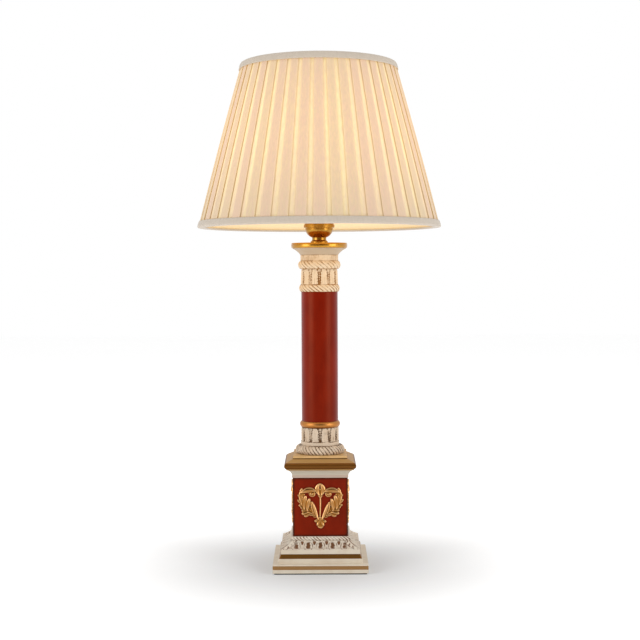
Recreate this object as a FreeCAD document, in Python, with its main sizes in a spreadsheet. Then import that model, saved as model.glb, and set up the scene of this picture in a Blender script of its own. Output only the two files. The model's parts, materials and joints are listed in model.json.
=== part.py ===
import FreeCAD, Part

import math
import os
from collections import namedtuple

import Sketcher
from FreeCAD import Placement, Rotation, Vector

# Column table lamp: a square stepped base and die, a round column between carved ends, a brass
# lampholder with a push-through bar switch, and a box-pleated shade on a gimbal frame.
# Millimetres, +Z up, the front towards -Y. The origin is on the table under the column's axis.

SIZES = {
    # the rod that clamps the stack
    "rod_radius": 5.0,
    "rod_bore_radius": 3.5,
    "rod_clearance": 0.4,
    "rod_projection": 1.5,
    "rod_engagement": 5.0,
    "nut_across_flats": 15.0,
    "nut_height": 4.0,
    "washer_radius": 14.0,
    "washer_height": 1.5,
    # felt, plinth and weight; every width is across the flats
    "felt_height": 1.5,
    "felt_inset": 2.0,
    "slab_width": 117.0,
    "slab_height": 10.8,
    "step_width": 103.4,
    "step_height": 5.5,
    "band_foot_width": 101.4,
    "band_top_width": 97.0,
    "band_height": 5.4,
    "fillet_width": 97.8,
    "fillet_height": 4.9,
    "cavity_width": 78.0,
    "cavity_height": 20.5,
    "weight_clearance": 1.0,
    "weight_height": 10.0,
    # cable inlet at the back of the plinth
    "inlet_bore_radius": 3.2,
    "inlet_wall": 1.0,
    "inlet_flange_radius": 4.9,
    "inlet_flange_height": 1.6,
    # leaf moulding under the die
    "leaf_foot_width": 97.0,
    "leaf_lip_height": 0.6,
    "leaf_top_width": 70.6,
    "leaf_height": 9.1,
    "leaf_hollow_radius": 40.0,
    "rope_edge_width": 71.2,
    "rope_edge_height": 5.0,
    "rope_edge_radius": 2.7,
    # die and its relief ornaments
    "die_width": 68.0,
    "die_height": 72.7,
    "ornament_width": 56.0,
    "ornament_height": 57.0,
    "ornament_rise": 1.2,
    "relief": 1.6,
    # cornice
    "cornice_fillet_width": 69.6,
    "cornice_fillet_height": 4.1,
    "cornice_cove_width": 80.8,
    "cornice_cove_height": 6.2,
    "cornice_cove_radius": 11.0,
    "cornice_quirk_height": 1.2,
    "cornice_width": 88.6,
    "cornice_round_height": 8.0,
    "cornice_round_depth": 2.7,
    "cornice_top_width": 69.2,
    "cornice_slope_height": 3.6,
    # column foot
    "foot_plinth_width": 67.6,
    "foot_plinth_height": 3.6,
    "torus_foot_radius": 30.6,
    "torus_top_radius": 25.5,
    "torus_height": 10.7,
    "torus_bulge_radius": 7.5,
    "foot_fillet_radius": 24.0,
    "foot_fillet_height": 4.5,
    "foot_drum_radius": 23.3,
    "foot_drum_height": 17.8,
    # leaves of both drums
    "leaf_count": 12,
    "crevice_depth": 1.6,
    "crevice_width": 1.5,
    "crevice_margin": 1.0,
    # collar and shaft
    "collar_edge_radius": 23.2,
    "collar_height": 7.4,
    "collar_bulge_radius": 4.5,
    "shaft_radius": 22.8,
    "shaft_length": 161.9,
    # capital
    "lower_rope_radius": 23.6,
    "lower_rope_height": 8.8,
    "lower_rope_bulge_radius": 6.0,
    "capital_drum_radius": 23.2,
    "capital_drum_top_radius": 22.4,
    "capital_drum_height": 19.8,
    "upper_rope_radius": 24.2,
    "upper_rope_height": 9.8,
    "upper_rope_bulge_radius": 6.2,
    "neck_radius": 23.6,
    "neck_height": 7.5,
    "flare_radius": 33.4,
    "flare_height": 7.9,
    "flare_hollow_radius": 22.0,
    "flare_lip_height": 0.8,
    "disc_radius": 34.6,
    "disc_height": 6.2,
    "disc_bulge_radius": 9.0,
    # lampholder
    "seating_radius": 10.9,
    "seating_height": 3.3,
    "seating_top_radius": 9.4,
    "cap_neck_radius": 8.9,
    "cap_neck_height": 3.6,
    "cap_bowl_radius": 17.3,
    "cap_bowl_height": 9.3,
    "cap_bulge_radius": 13.0,
    "cap_rim_radius": 19.2,
    "cap_rim_height": 4.0,
    "cap_waist_height": 2.8,
    "cap_mouth_radius": 16.4,
    "cap_floor": 1.7,
    "housing_radius": 18.3,
    "housing_wall": 1.0,
    "housing_height": 18.3,
    "shoulder_radius": 22.5,
    "shoulder_height": 2.0,
    "skirt_radius": 19.6,
    "skirt_wall": 2.0,
    "skirt_height": 28.0,
    "insulator_base_height": 2.5,
    "insulator_body_radius": 15.6,
    "insulator_body_height": 16.5,
    "insulator_cup_radius": 16.8,
    "insulator_cup_height": 27.0,
    "holder_fit": 0.1,
    "screw_shell_radius": 14.4,
    "screw_shell_wall": 0.9,
    "screw_shell_height": 22.0,
    "tongue_width": 6.0,
    "tongue_height": 0.8,
    "tongue_rise": 2.2,
    "tongue_reach": 9.0,
    "tongue_tip_reach": 4.0,
    "terminal_radius": 2.0,
    "terminal_height": 3.0,
    "terminal_spacing": 18.0,
    # bar switch
    "bar_radius": 2.5,
    "bar_length": 48.0,
    "bar_travel": 6.0,
    "bar_rise": 10.3,
    # bulb
    "bulb_gap": 0.3,
    "contact_radius": 4.8,
    "contact_height": 1.8,
    "bulb_cone_height": 4.2,
    "bulb_cap_radius": 13.2,
    "bulb_cap_height": 19.5,
    "bulb_neck_radius": 12.8,
    "bulb_neck_height": 16.0,
    "bulb_radius": 30.0,
    "bulb_centre_height": 50.0,
    "bulb_wall": 0.8,
    "stem_flare_radius": 10.0,
    "stem_flare_height": 2.0,
    "stem_radius": 3.5,
    "stem_height": 36.0,
    # ring, fitter and gimbal
    "ring_radius": 25.0,
    "ring_height": 7.0,
    "ring_chamfer": 1.0,
    "fitter_radius": 25.5,
    "fitter_height": 3.0,
    "fitter_clearance": 0.5,
    "running_gap": 0.3,
    "pivot_radius": 1.25,
    "pivot_reach": 30.0,
    "pivot_clearance": 0.05,
    "gimbal_inner_radius": 27.5,
    "gimbal_outer_radius": 32.0,
    "gimbal_height": 5.0,
    "weld_depth": 1.0,
    "arm_radius": 1.8,
    "arm_count": 4,
    "gimbal_rise": 26.4,
    # shade
    "shade_bottom_radius": 151.0,
    "shade_top_radius": 96.0,
    "shade_height": 204.1,
    "pleat_count": 44,
    "pleat_depth": 1.6,
    "cover_thickness": 3.2,
    "wire_inset": 5.0,
    "wire_radius": 1.4,
    "hoop_radius": 1.5,
    "hoop_rise": 3.2,
    "strut_count": 8,
    "lining_inset": 6.8,
    "lining_thickness": 1.0,
    "hem_margin": 1.5,
    "trim_height": 8.7,
    "trim_thickness": 1.3,
    "trim_clearance": 0.2,
}

PLEAT_FACE_SHARE = 0.8
PLEAT_EDGE_SHARE = 0.03

# One half of the relief: root x and y, tip x and y, half width and bow of each leaf,
# in hundredths of the ornament's half width and half height.
SPRAY_LEAVES = (
    (3, 47, 5, 99, 12, -10),       # crest petal
    (80, 42, 26, 66, 11, -15),     # scroll
    (70, -14, 83, 77, 11, -12),    # outer leaf
    (66, -8, 63, 43, 9, -1),       # inner leaf
    (53, -12, 51, 37, 7, -2),      # second inner leaf
    (28, -40, 40, 16, 11, 0),      # middle leaf
    (7, -58, 28, 8, 5, -2),        # main stem
    (10, -58, 80, 0, 13, 0),       # body of the spray
    (48, -14, 84, -22, 8, 1),      # upper fan lobe
    (36, -24, 76, -38, 8, 2),      # lower fan lobe
    (26, -34, 60, -46, 7, 2),      # third fan lobe
    (0, -54, 27, -70, 7, -2),      # calyx petal
)
# round parts: centre x and y, and radius
VOLUTE = (38, 56, 14)
BUD_END = (0, -85, 15)
CREST_SEED = (0, 42, 0, 73, 14, 0)
BUD = (0, -48, 0, -98, 18, 0)
STALK = (5, -60, 46)  # half width, foot and head

doc = FreeCAD.newDocument("ColumnTableLamp")


class Dim:
    """A size that keeps its formula in the size sheet beside its value in millimetres."""

    def __init__(self, formula, value):
        self.formula = formula
        self.value = value

    def join(self, sign, other, value):
        return Dim(f"({self.formula} {sign} {as_dim(other).formula})", value)

    def __add__(self, other):
        return self.join("+", other, self.value + as_dim(other).value)

    def __sub__(self, other):
        return self.join("-", other, self.value - as_dim(other).value)

    def __mul__(self, other):
        return self.join("*", other, self.value * as_dim(other).value)

    def __truediv__(self, other):
        return self.join("/", other, self.value / as_dim(other).value)

    def __neg__(self):
        return Dim(f"(0 - {self.formula})", -self.value)


def as_dim(size):
    return size if isinstance(size, Dim) else Dim(str(size), float(size))


class Sizes:
    """The size sheet: every driving size is a cell with an alias, read here as a Dim."""

    def __init__(self, sizes):
        self.sheet = doc.addObject("Spreadsheet::Sheet", "Sizes")
        for row, (alias, value) in enumerate(sizes.items(), start=1):
            self.sheet.set(f"A{row}", alias)
            self.sheet.set(f"B{row}", str(value))
            self.sheet.setAlias(f"B{row}", alias)
            setattr(self, alias, Dim(f"Sizes.{alias}", value))
        doc.recompute()


s = Sizes(SIZES)
ZERO = Dim("0", 0.0)

# A corner of an outline. radius rounds the edge that leaves it: outwards, or inwards if hollow.
Corner = namedtuple("Corner", "x y radius hollow", defaults=(None, False))

pieces = {}


def bind(owner, **sizes):
    """Tie properties of an object to formulas of the sheet."""
    for name, size in sizes.items():
        owner.setExpression(name, as_dim(size).formula)


def finish(piece, label, x=ZERO, y=ZERO, z=ZERO):
    """Name a finished piece, seat it and list it for export."""
    piece.Label = label
    for axis, size in zip("xyz", (x, y, z)):
        piece.setExpression(f"Placement.Base.{axis}", size.formula)
    pieces[label] = piece
    return piece


# Sketch helpers


def lock(sketch, kind, *where, size):
    """Add a constraint whose value comes from the sheet."""
    index = sketch.addConstraint(Sketcher.Constraint(kind, *where, size.value))
    sketch.setExpression(f"Constraints[{index}]", size.formula)


def lock_point(sketch, edge, end, x, y):
    """Hold a point at (x, y) from the sketch's origin; a zero puts it on that axis."""
    for kind, size, axis in (("DistanceX", x, -2), ("DistanceY", y, -1)):
        if size is ZERO:
            sketch.addConstraint(Sketcher.Constraint("PointOnObject", edge, end, axis))
        else:
            lock(sketch, kind, -1, 1, edge, end, size=size)


def arc_between(start, end, radius, hollow):
    """The short arc from start to end, with its centre on the left, or on the right if hollow."""
    chord = end - start
    offset = math.sqrt(max(radius**2 - (chord.Length / 2) ** 2, 0.0))
    left = Vector(-chord.y, chord.x).normalize()
    centre = start + chord / 2 + left * (-offset if hollow else offset)
    first, last = (end, start) if hollow else (start, end)
    angles = [math.atan2(point.y - centre.y, point.x - centre.x) for point in (first, last)]
    if angles[1] < angles[0]:
        angles[1] += 2 * math.pi
    return Part.ArcOfCircle(Part.Circle(centre, Vector(0, 0, 1), radius), *angles)


def draw_outline(sketch, corners):
    """Draw a closed outline anticlockwise and lock every corner and radius to its formula."""
    ends = []
    for here, there in zip(corners, corners[1:] + corners[:1]):
        start = Vector(here.x.value, here.y.value)
        end = Vector(there.x.value, there.y.value)
        if here.radius is None:
            sketch.addGeometry(Part.LineSegment(start, end))
        else:
            sketch.addGeometry(arc_between(start, end, here.radius.value, here.hollow))
        ends.append((2, 1) if here.hollow else (1, 2))
    for edge, corner in enumerate(corners):
        following = (edge + 1) % len(corners)
        joint = (edge, ends[edge][1], following, ends[following][0])
        sketch.addConstraint(Sketcher.Constraint("Coincident", *joint))
        lock_point(sketch, edge, ends[edge][0], corner.x, corner.y)
        if corner.radius is not None:
            lock(sketch, "Radius", edge, size=corner.radius)


def draw_circle(sketch, radius, x=ZERO, y=ZERO):
    centre = Vector(x.value, y.value)
    edge = sketch.addGeometry(Part.Circle(centre, Vector(0, 0, 1), radius.value))
    lock_point(sketch, edge, 3, x, y)
    lock(sketch, "Radius", edge, size=radius)


def body_origin(body, role):
    return next(item for item in body.Origin.OriginFeatures if item.Role == role)


def body_sketch(body, plane, height=ZERO):
    """A sketch on one of the body's own planes, raised along that plane's normal."""
    sketch = body.newObject("Sketcher::SketchObject", f"{body.Name}Sketch")
    sketch.AttachmentSupport = [(body_origin(body, plane), "")]
    sketch.MapMode = "FlatFace"
    if height is not ZERO:
        sketch.setExpression("AttachmentOffset.Base.z", height.formula)
    return sketch


# Ways of making a piece


def new_body(label):
    return doc.addObject("PartDesign::Body", f"{label}_body")


def turn(body, corners):
    """Turn a half section, given as (radius, height) corners, about the body's Z axis."""
    sketch = body_sketch(body, "XZ_Plane")
    draw_outline(sketch, corners)
    revolution = body.newObject("PartDesign::Revolution", f"{body.Name}Turning")
    revolution.Profile = sketch
    revolution.ReferenceAxis = (sketch, ["V_Axis"])
    revolution.Angle = 360
    return revolution


def pad(body, sketch, length, midplane=False):
    feature = body.newObject("PartDesign::Pad", f"{body.Name}Pad")
    feature.Profile = sketch
    feature.SideType = "Symmetric" if midplane else "One side"
    bind(feature, Length=length)
    return feature


def pocket(body, sketch, length, midplane=False, reverse=False):
    feature = body.newObject("PartDesign::Pocket", f"{body.Name}Pocket")
    feature.Profile = sketch
    feature.SideType = "Symmetric" if midplane else "One side"
    feature.Reversed = reverse
    bind(feature, Length=length)
    return feature


def repeat_round(body, feature, count):
    """Repeat a feature evenly round the body's Z axis."""
    pattern = body.newObject("PartDesign::PolarPattern", f"{body.Name}Pattern")
    pattern.Originals = [feature]
    pattern.Axis = (body_origin(body, "Z_Axis"), [""])
    pattern.Angle = 360
    bind(pattern, Occurrences=count)
    body.Tip = pattern
    return pattern


def turned(label, seat, corners):
    body = new_body(label)
    turn(body, corners)
    return finish(body, label, z=seat)


def primitive(kind, name, x=ZERO, y=ZERO, z=ZERO, **sizes):
    shape = doc.addObject(kind, name)
    bind(shape, **sizes)
    for axis, size in zip("xyz", (x, y, z)):
        shape.setExpression(f"Placement.Base.{axis}", size.formula)
    return shape


def square_block(name, width, height, z=ZERO):
    half = width / 2
    size = {"Length": width, "Width": width, "Height": height}
    return primitive("Part::Box", name, x=-half, y=-half, z=z, **size)


def cut(name, base, tool):
    result = doc.addObject("Part::Cut", name)
    result.Base = base
    result.Tool = tool
    return result


def bored(name, base, height):
    """Cut the rod's clearance hole through a piece of the stack."""
    tool = primitive("Part::Cylinder", f"{name}_bore", Radius=stack_bore, Height=height)
    return cut(f"{name}_bored", base, tool)


def bulge_radius(height, depth):
    """The radius of a round that stands out by depth over a chord of this height."""
    return (height * height / 4 + depth * depth) / (depth * 2)


def mirrored(side):
    """The left-hand side of an outline, from the top down."""
    arcs = [(None, False)] + [(corner.radius, corner.hollow) for corner in side[:-1]]
    pairs = reversed(list(zip(side, arcs)))
    return [Corner(-corner.x, corner.y, *arc) for corner, arc in pairs]


def square_moulding(name, side, width, height):
    """A mitred square moulding: what two crossed runs of one moulding have in common.

    side is the right-hand side of its outline, from the foot up, as (half width, height) corners.
    """
    upright = Rotation(Vector(1, 0, 0), 90)
    runs = []
    for axis, quarter in (("x", 0), ("y", 90)):
        sketch = doc.addObject("Sketcher::SketchObject", f"{name}_{axis}_outline")
        sketch.Placement = Placement(Vector(), Rotation(Vector(0, 0, 1), quarter) * upright)
        draw_outline(sketch, side + mirrored(side))
        run = doc.addObject("Part::Extrusion", f"{name}_{axis}_run")
        run.Base = sketch
        run.DirMode = "Normal"
        run.Symmetric = True
        run.Solid = True
        bind(run, LengthFwd=width)
        runs.append(run)
    crossed = doc.addObject("Part::Common", f"{name}_crossed")
    crossed.Base, crossed.Tool = runs
    return bored(name, crossed, height)


def drum_crevices(body, radius, foot, height):
    """Cut the crevices between the leaves of a drum: V grooves up its side."""
    sketch = body_sketch(body, "XY_Plane", foot + s.crevice_margin)
    outside = radius + s.crevice_depth
    half_mouth = s.crevice_width
    draw_outline(
        sketch,
        [
            Corner(radius - s.crevice_depth, ZERO),
            Corner(outside, -half_mouth),
            Corner(outside, half_mouth),
        ],
    )
    groove = pocket(body, sketch, height - s.crevice_margin * 2, reverse=True)
    repeat_round(body, groove, s.leaf_count)


# Levels of the stack: each piece stands on the one before it

stack_bore = s.rod_radius + s.rod_clearance

plinth_seat = s.felt_height
plinth_height = s.slab_height + s.step_height + s.band_height + s.fillet_height
moulding_seat = plinth_seat + plinth_height
die_seat = moulding_seat + s.leaf_height + s.rope_edge_height
cornice_seat = die_seat + s.die_height
cornice_height = (
    s.cornice_fillet_height
    + s.cornice_cove_height
    + s.cornice_quirk_height
    + s.cornice_round_height
    + s.cornice_slope_height
)
foot_plinth_seat = cornice_seat + cornice_height
foot_seat = foot_plinth_seat + s.foot_plinth_height
foot_drum_level = s.torus_height + s.foot_fillet_height
collar_seat = foot_seat + foot_drum_level + s.foot_drum_height
shaft_seat = collar_seat + s.collar_height
capital_seat = shaft_seat + s.shaft_length
upper_rope_level = s.lower_rope_height + s.capital_drum_height
neck_level = upper_rope_level + s.upper_rope_height
flare_seat = capital_seat + neck_level + s.neck_height
disc_seat = flare_seat + s.flare_height + s.flare_lip_height
seating_seat = disc_seat + s.disc_height
cap_seat = seating_seat + s.seating_height
cap_bowl_level = s.cap_neck_height + s.cap_bowl_height
cap_rim_level = cap_bowl_level + s.cap_waist_height
cap_height = cap_rim_level + s.cap_rim_height
housing_seat = cap_seat + cap_height
skirt_seat = housing_seat + s.housing_height
cup_floor_level = s.insulator_base_height + s.insulator_body_height
screw_shell_seat = housing_seat + cup_floor_level
bar_level = housing_seat + s.bar_rise
fitter_seat = skirt_seat + s.shoulder_height + s.running_gap
pivot_level = fitter_seat + s.fitter_height / 2
shade_seat = pivot_level - s.gimbal_rise
bulb_seat = screw_shell_seat + s.tongue_rise + s.bulb_gap


# Base


def felt_pad():
    width = s.slab_width - s.felt_inset * 2
    felt = square_block("felt", width, s.felt_height)
    finish(felt, "felt_pad", x=-width / 2, y=-width / 2)


def base_plinth():
    slab, step = s.slab_width / 2, s.step_width / 2
    band_level = s.slab_height + s.step_height
    fillet_level = band_level + s.band_height
    side = [
        Corner(slab, ZERO),
        Corner(slab, s.slab_height),
        Corner(step, s.slab_height),
        Corner(step, band_level),
        Corner(s.band_foot_width / 2, band_level),
        Corner(s.band_top_width / 2, fillet_level),
        Corner(s.fillet_width / 2, fillet_level),
        Corner(s.fillet_width / 2, plinth_height),
    ]
    solid = square_moulding("plinth", side, s.slab_width, plinth_height)
    hollow = cut("plinth_hollow", solid, square_block("cavity", s.cavity_width, s.cavity_height))
    inlet = primitive(
        "Part::Cylinder",
        "inlet_hole",
        y=s.cavity_width / 2,
        z=s.slab_height / 2,
        Radius=s.inlet_bore_radius + s.inlet_wall,
        Height=s.slab_width / 2 - s.cavity_width / 2,
    )
    inlet.Placement = Placement(Vector(), Rotation(Vector(1, 0, 0), -90))
    finish(cut("plinth_piece", hollow, inlet), "base_plinth", z=plinth_seat)


def base_weight():
    width = s.cavity_width - s.weight_clearance * 2
    iron = bored("weight", square_block("iron", width, s.weight_height), s.weight_height)
    finish(iron, "base_weight", z=plinth_seat + s.cavity_height - s.weight_height)


def cable_grommet():
    barrel = s.inlet_bore_radius + s.inlet_wall
    length = s.slab_width / 2 - s.cavity_width / 2
    grommet = turned(
        "cable_grommet",
        ZERO,
        [
            Corner(s.inlet_bore_radius, ZERO),
            Corner(barrel, ZERO),
            Corner(barrel, length),
            Corner(s.inlet_flange_radius, length),
            Corner(s.inlet_flange_radius, length + s.inlet_flange_height),
            Corner(s.inlet_bore_radius, length + s.inlet_flange_height),
        ],
    )
    grommet.Placement = Placement(Vector(), Rotation(Vector(1, 0, 0), -90))
    level = plinth_seat + s.slab_height / 2
    finish(grommet, "cable_grommet", y=s.cavity_width / 2, z=level)


def base_leaf_moulding():
    foot, top = s.leaf_foot_width / 2, s.leaf_top_width / 2
    rope = s.rope_edge_width / 2
    height = s.leaf_height + s.rope_edge_height
    side = [
        Corner(foot, ZERO),
        Corner(foot, s.leaf_lip_height, s.leaf_hollow_radius, True),
        Corner(top, s.leaf_height),
        Corner(rope, s.leaf_height, s.rope_edge_radius),
        Corner(rope, height),
    ]
    moulding = square_moulding("leaf_moulding", side, s.leaf_foot_width, height)
    finish(moulding, "base_leaf_moulding", z=moulding_seat)


def pedestal_die():
    block = bored("die", square_block("die_block", s.die_width, s.die_height), s.die_height)
    finish(block, "pedestal_die", z=die_seat)


def pedestal_cornice():
    fillet, cove = s.cornice_fillet_width / 2, s.cornice_cove_width / 2
    quirk, top = s.cornice_width / 2 - s.cornice_round_depth, s.cornice_top_width / 2
    quirk_level = s.cornice_fillet_height + s.cornice_cove_height
    round_level = quirk_level + s.cornice_quirk_height
    slope_level = round_level + s.cornice_round_height
    side = [
        Corner(fillet, ZERO),
        Corner(fillet, s.cornice_fillet_height, s.cornice_cove_radius, True),
        Corner(cove, quirk_level),
        Corner(quirk, quirk_level),
        Corner(quirk, round_level, bulge_radius(s.cornice_round_height, s.cornice_round_depth)),
        Corner(quirk, slope_level),
        Corner(top, cornice_height),
    ]
    moulding = square_moulding("cornice", side, s.cornice_width, cornice_height)
    finish(moulding, "pedestal_cornice", z=cornice_seat)


# Relief ornaments


def leaf_outline(root, tip, half_width, bow):
    """A leaf between two arcs: bow carries its middle to the left of the line from root to tip."""
    along = tip - root
    left = Vector(-along.z, 0, along.x).normalize()
    middle = root + along / 2
    edges = []
    for start, end, side in ((root, tip, bow + half_width), (tip, root, bow - half_width)):
        through = middle + left * side
        edges.append(Part.Arc(start, through, end).toShape())
    return Part.Face(Part.Wire(edges))


def disc_outline(centre, radius):
    ring = Part.Circle(centre, Vector(0, 1, 0), radius)
    return Part.Face(Part.Wire(ring.toShape()))


def ornament_shape():
    """The relief as it stands on the front of the die, around the middle of its back."""
    half_width = s.ornament_width.value / 2
    half_height = s.ornament_height.value / 2
    unit = (half_width + half_height) / 200

    def point(x, y):
        return Vector(x * half_width / 100, 0, y * half_height / 100)

    faces = []
    for side in (1, -1):
        for root_x, root_y, tip_x, tip_y, width, bow in SPRAY_LEAVES:
            root, tip = point(side * root_x, root_y), point(side * tip_x, tip_y)
            faces.append(leaf_outline(root, tip, width * unit, side * bow * unit))
        x, y, radius = VOLUTE
        faces.append(disc_outline(point(side * x, y), radius * unit))
    x, y, radius = BUD_END
    faces.append(disc_outline(point(x, y), radius * unit))
    for x, y, tip_x, tip_y, width, bow in (CREST_SEED, BUD):
        faces.append(leaf_outline(point(x, y), point(tip_x, tip_y), width * unit, bow * unit))
    half_stalk, foot, head = STALK
    stalk = [point(-half_stalk, foot), point(half_stalk, foot)]
    stalk += [point(half_stalk, head), point(-half_stalk, head)]
    faces.append(Part.Face(Part.makePolygon(stalk + stalk[:1])))
    solids = [face.extrude(Vector(0, -s.relief.value, 0)) for face in faces]
    return solids[0].multiFuse(solids[1:]).removeSplitter()


def ornaments():
    """One relief on each side of the die."""
    shape = ornament_shape()
    level = die_seat + s.die_height / 2 + s.ornament_rise
    half = s.die_width / 2
    sides = (
        ("ornament_front", 0, ZERO, -half),
        ("ornament_right", 90, half, ZERO),
        ("ornament_back", 180, ZERO, half),
        ("ornament_left", 270, -half, ZERO),
    )
    for label, angle, x, y in sides:
        relief = doc.addObject("Part::Feature", f"{label}_relief")
        relief.Shape = shape
        relief.Placement = Placement(Vector(), Rotation(Vector(0, 0, 1), angle))
        finish(relief, label, x=x, y=y, z=level)


# Column


def foot_plinth():
    block = square_block("foot_square", s.foot_plinth_width, s.foot_plinth_height)
    finish(bored("foot_square", block, s.foot_plinth_height), "foot_plinth", z=foot_plinth_seat)


def column_foot():
    body = new_body("column_foot")
    height = foot_drum_level + s.foot_drum_height
    turn(
        body,
        [
            Corner(stack_bore, ZERO),
            Corner(s.torus_foot_radius, ZERO, s.torus_bulge_radius),
            Corner(s.torus_top_radius, s.torus_height),
            Corner(s.foot_fillet_radius, s.torus_height),
            Corner(s.foot_fillet_radius, foot_drum_level),
            Corner(s.foot_drum_radius, foot_drum_level),
            Corner(s.foot_drum_radius, height),
            Corner(stack_bore, height),
        ],
    )
    drum_crevices(body, s.foot_drum_radius, foot_drum_level, s.foot_drum_height)
    finish(body, "column_foot", z=foot_seat)


def column_collar():
    turned(
        "column_collar",
        collar_seat,
        [
            Corner(stack_bore, ZERO),
            Corner(s.collar_edge_radius, ZERO, s.collar_bulge_radius),
            Corner(s.collar_edge_radius, s.collar_height),
            Corner(stack_bore, s.collar_height),
        ],
    )


def column_shaft():
    turned(
        "column_shaft",
        shaft_seat,
        [
            Corner(stack_bore, ZERO),
            Corner(s.shaft_radius, ZERO),
            Corner(s.shaft_radius, s.shaft_length),
            Corner(stack_bore, s.shaft_length),
        ],
    )


def capital():
    body = new_body("capital")
    turn(
        body,
        [
            Corner(stack_bore, ZERO),
            Corner(s.lower_rope_radius, ZERO, s.lower_rope_bulge_radius),
            Corner(s.lower_rope_radius, s.lower_rope_height),
            Corner(s.capital_drum_radius, s.lower_rope_height),
            Corner(s.capital_drum_top_radius, upper_rope_level),
            Corner(s.upper_rope_radius, upper_rope_level, s.upper_rope_bulge_radius),
            Corner(s.upper_rope_radius, neck_level),
            Corner(s.neck_radius, neck_level),
            Corner(s.neck_radius, neck_level + s.neck_height),
            Corner(stack_bore, neck_level + s.neck_height),
        ],
    )
    drum_crevices(body, s.capital_drum_radius, s.lower_rope_height, s.capital_drum_height)
    finish(body, "capital", z=capital_seat)


def capital_flare():
    height = s.flare_height + s.flare_lip_height
    turned(
        "capital_flare",
        flare_seat,
        [
            Corner(stack_bore, ZERO),
            Corner(s.neck_radius, ZERO, s.flare_hollow_radius, True),
            Corner(s.flare_radius, s.flare_height),
            Corner(s.flare_radius, height),
            Corner(stack_bore, height),
        ],
    )


def abacus_disc():
    turned(
        "abacus_disc",
        disc_seat,
        [
            Corner(stack_bore, ZERO),
            Corner(s.disc_radius, ZERO, s.disc_bulge_radius),
            Corner(s.disc_radius, s.disc_height),
            Corner(stack_bore, s.disc_height),
        ],
    )


# Rod


def tie_rod():
    start = plinth_seat + s.cavity_height - s.weight_height - s.washer_height - s.nut_height
    start = start - s.rod_projection
    length = cap_seat + s.rod_engagement - start
    turned(
        "tie_rod",
        start,
        [
            Corner(s.rod_bore_radius, ZERO),
            Corner(s.rod_radius, ZERO),
            Corner(s.rod_radius, length),
            Corner(s.rod_bore_radius, length),
        ],
    )


def rod_washer():
    turned(
        "rod_washer",
        plinth_seat + s.cavity_height - s.weight_height - s.washer_height,
        [
            Corner(stack_bore, ZERO),
            Corner(s.washer_radius, ZERO),
            Corner(s.washer_radius, s.washer_height),
            Corner(stack_bore, s.washer_height),
        ],
    )


def rod_nut():
    hexagon = doc.addObject("Part::Prism", "nut_hexagon")
    hexagon.Polygon = 6
    bind(hexagon, Circumradius=s.nut_across_flats / Dim("sqrt(3)", math.sqrt(3)), Height=s.nut_height)
    thread = primitive("Part::Cylinder", "nut_thread", Radius=s.rod_radius, Height=s.nut_height)
    level = plinth_seat + s.cavity_height - s.weight_height - s.washer_height - s.nut_height
    finish(cut("nut", hexagon, thread), "rod_nut", z=level)


# Lampholder


def seating_ring():
    edge_level = s.seating_height - (s.seating_radius - s.seating_top_radius)
    turned(
        "seating_ring",
        seating_seat,
        [
            Corner(stack_bore, ZERO),
            Corner(s.seating_radius, ZERO),
            Corner(s.seating_radius, edge_level),
            Corner(s.seating_top_radius, s.seating_height),
            Corner(stack_bore, s.seating_height),
        ],
    )


def lampholder_cap():
    """A brass bowl: solid and threaded at its neck, open above, with a ledge for the insulator."""
    floor_level = s.cap_neck_height + s.cap_floor
    inner_bowl = s.cap_bowl_radius - s.cap_floor
    turned(
        "lampholder_cap",
        cap_seat,
        [
            Corner(s.rod_radius, ZERO),
            Corner(s.cap_neck_radius, ZERO),
            Corner(s.cap_neck_radius, s.cap_neck_height, s.cap_bulge_radius),
            Corner(s.cap_bowl_radius, cap_bowl_level),
            Corner(s.cap_bowl_radius, cap_rim_level),
            Corner(s.cap_rim_radius, cap_rim_level),
            Corner(s.cap_rim_radius, cap_height),
            Corner(s.cap_mouth_radius, cap_height),
            Corner(s.cap_mouth_radius, cap_rim_level),
            Corner(inner_bowl, cap_bowl_level),
            Corner(s.cap_neck_radius, floor_level),
            Corner(s.rod_radius, floor_level),
        ],
    )


def switch_housing():
    """The shell round the switch, with a round hole on each side for the bar."""
    body = new_body("switch_housing")
    inner = s.housing_radius - s.housing_wall
    turn(
        body,
        [
            Corner(inner, ZERO),
            Corner(s.housing_radius, ZERO),
            Corner(s.housing_radius, s.housing_height),
            Corner(inner, s.housing_height),
        ],
    )
    hole = body_sketch(body, "YZ_Plane")
    draw_circle(hole, s.bar_radius + s.running_gap, y=s.bar_rise)
    pocket(body, hole, s.housing_radius * 2, midplane=True)
    finish(body, "switch_housing", z=housing_seat)


def lampholder_skirt():
    inner = s.skirt_radius - s.skirt_wall
    height = s.shoulder_height + s.skirt_height
    turned(
        "lampholder_skirt",
        skirt_seat,
        [
            Corner(inner, ZERO),
            Corner(s.shoulder_radius, ZERO),
            Corner(s.shoulder_radius, s.shoulder_height),
            Corner(s.skirt_radius, s.shoulder_height),
            Corner(s.skirt_radius, height),
            Corner(inner, height),
        ],
    )


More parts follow.
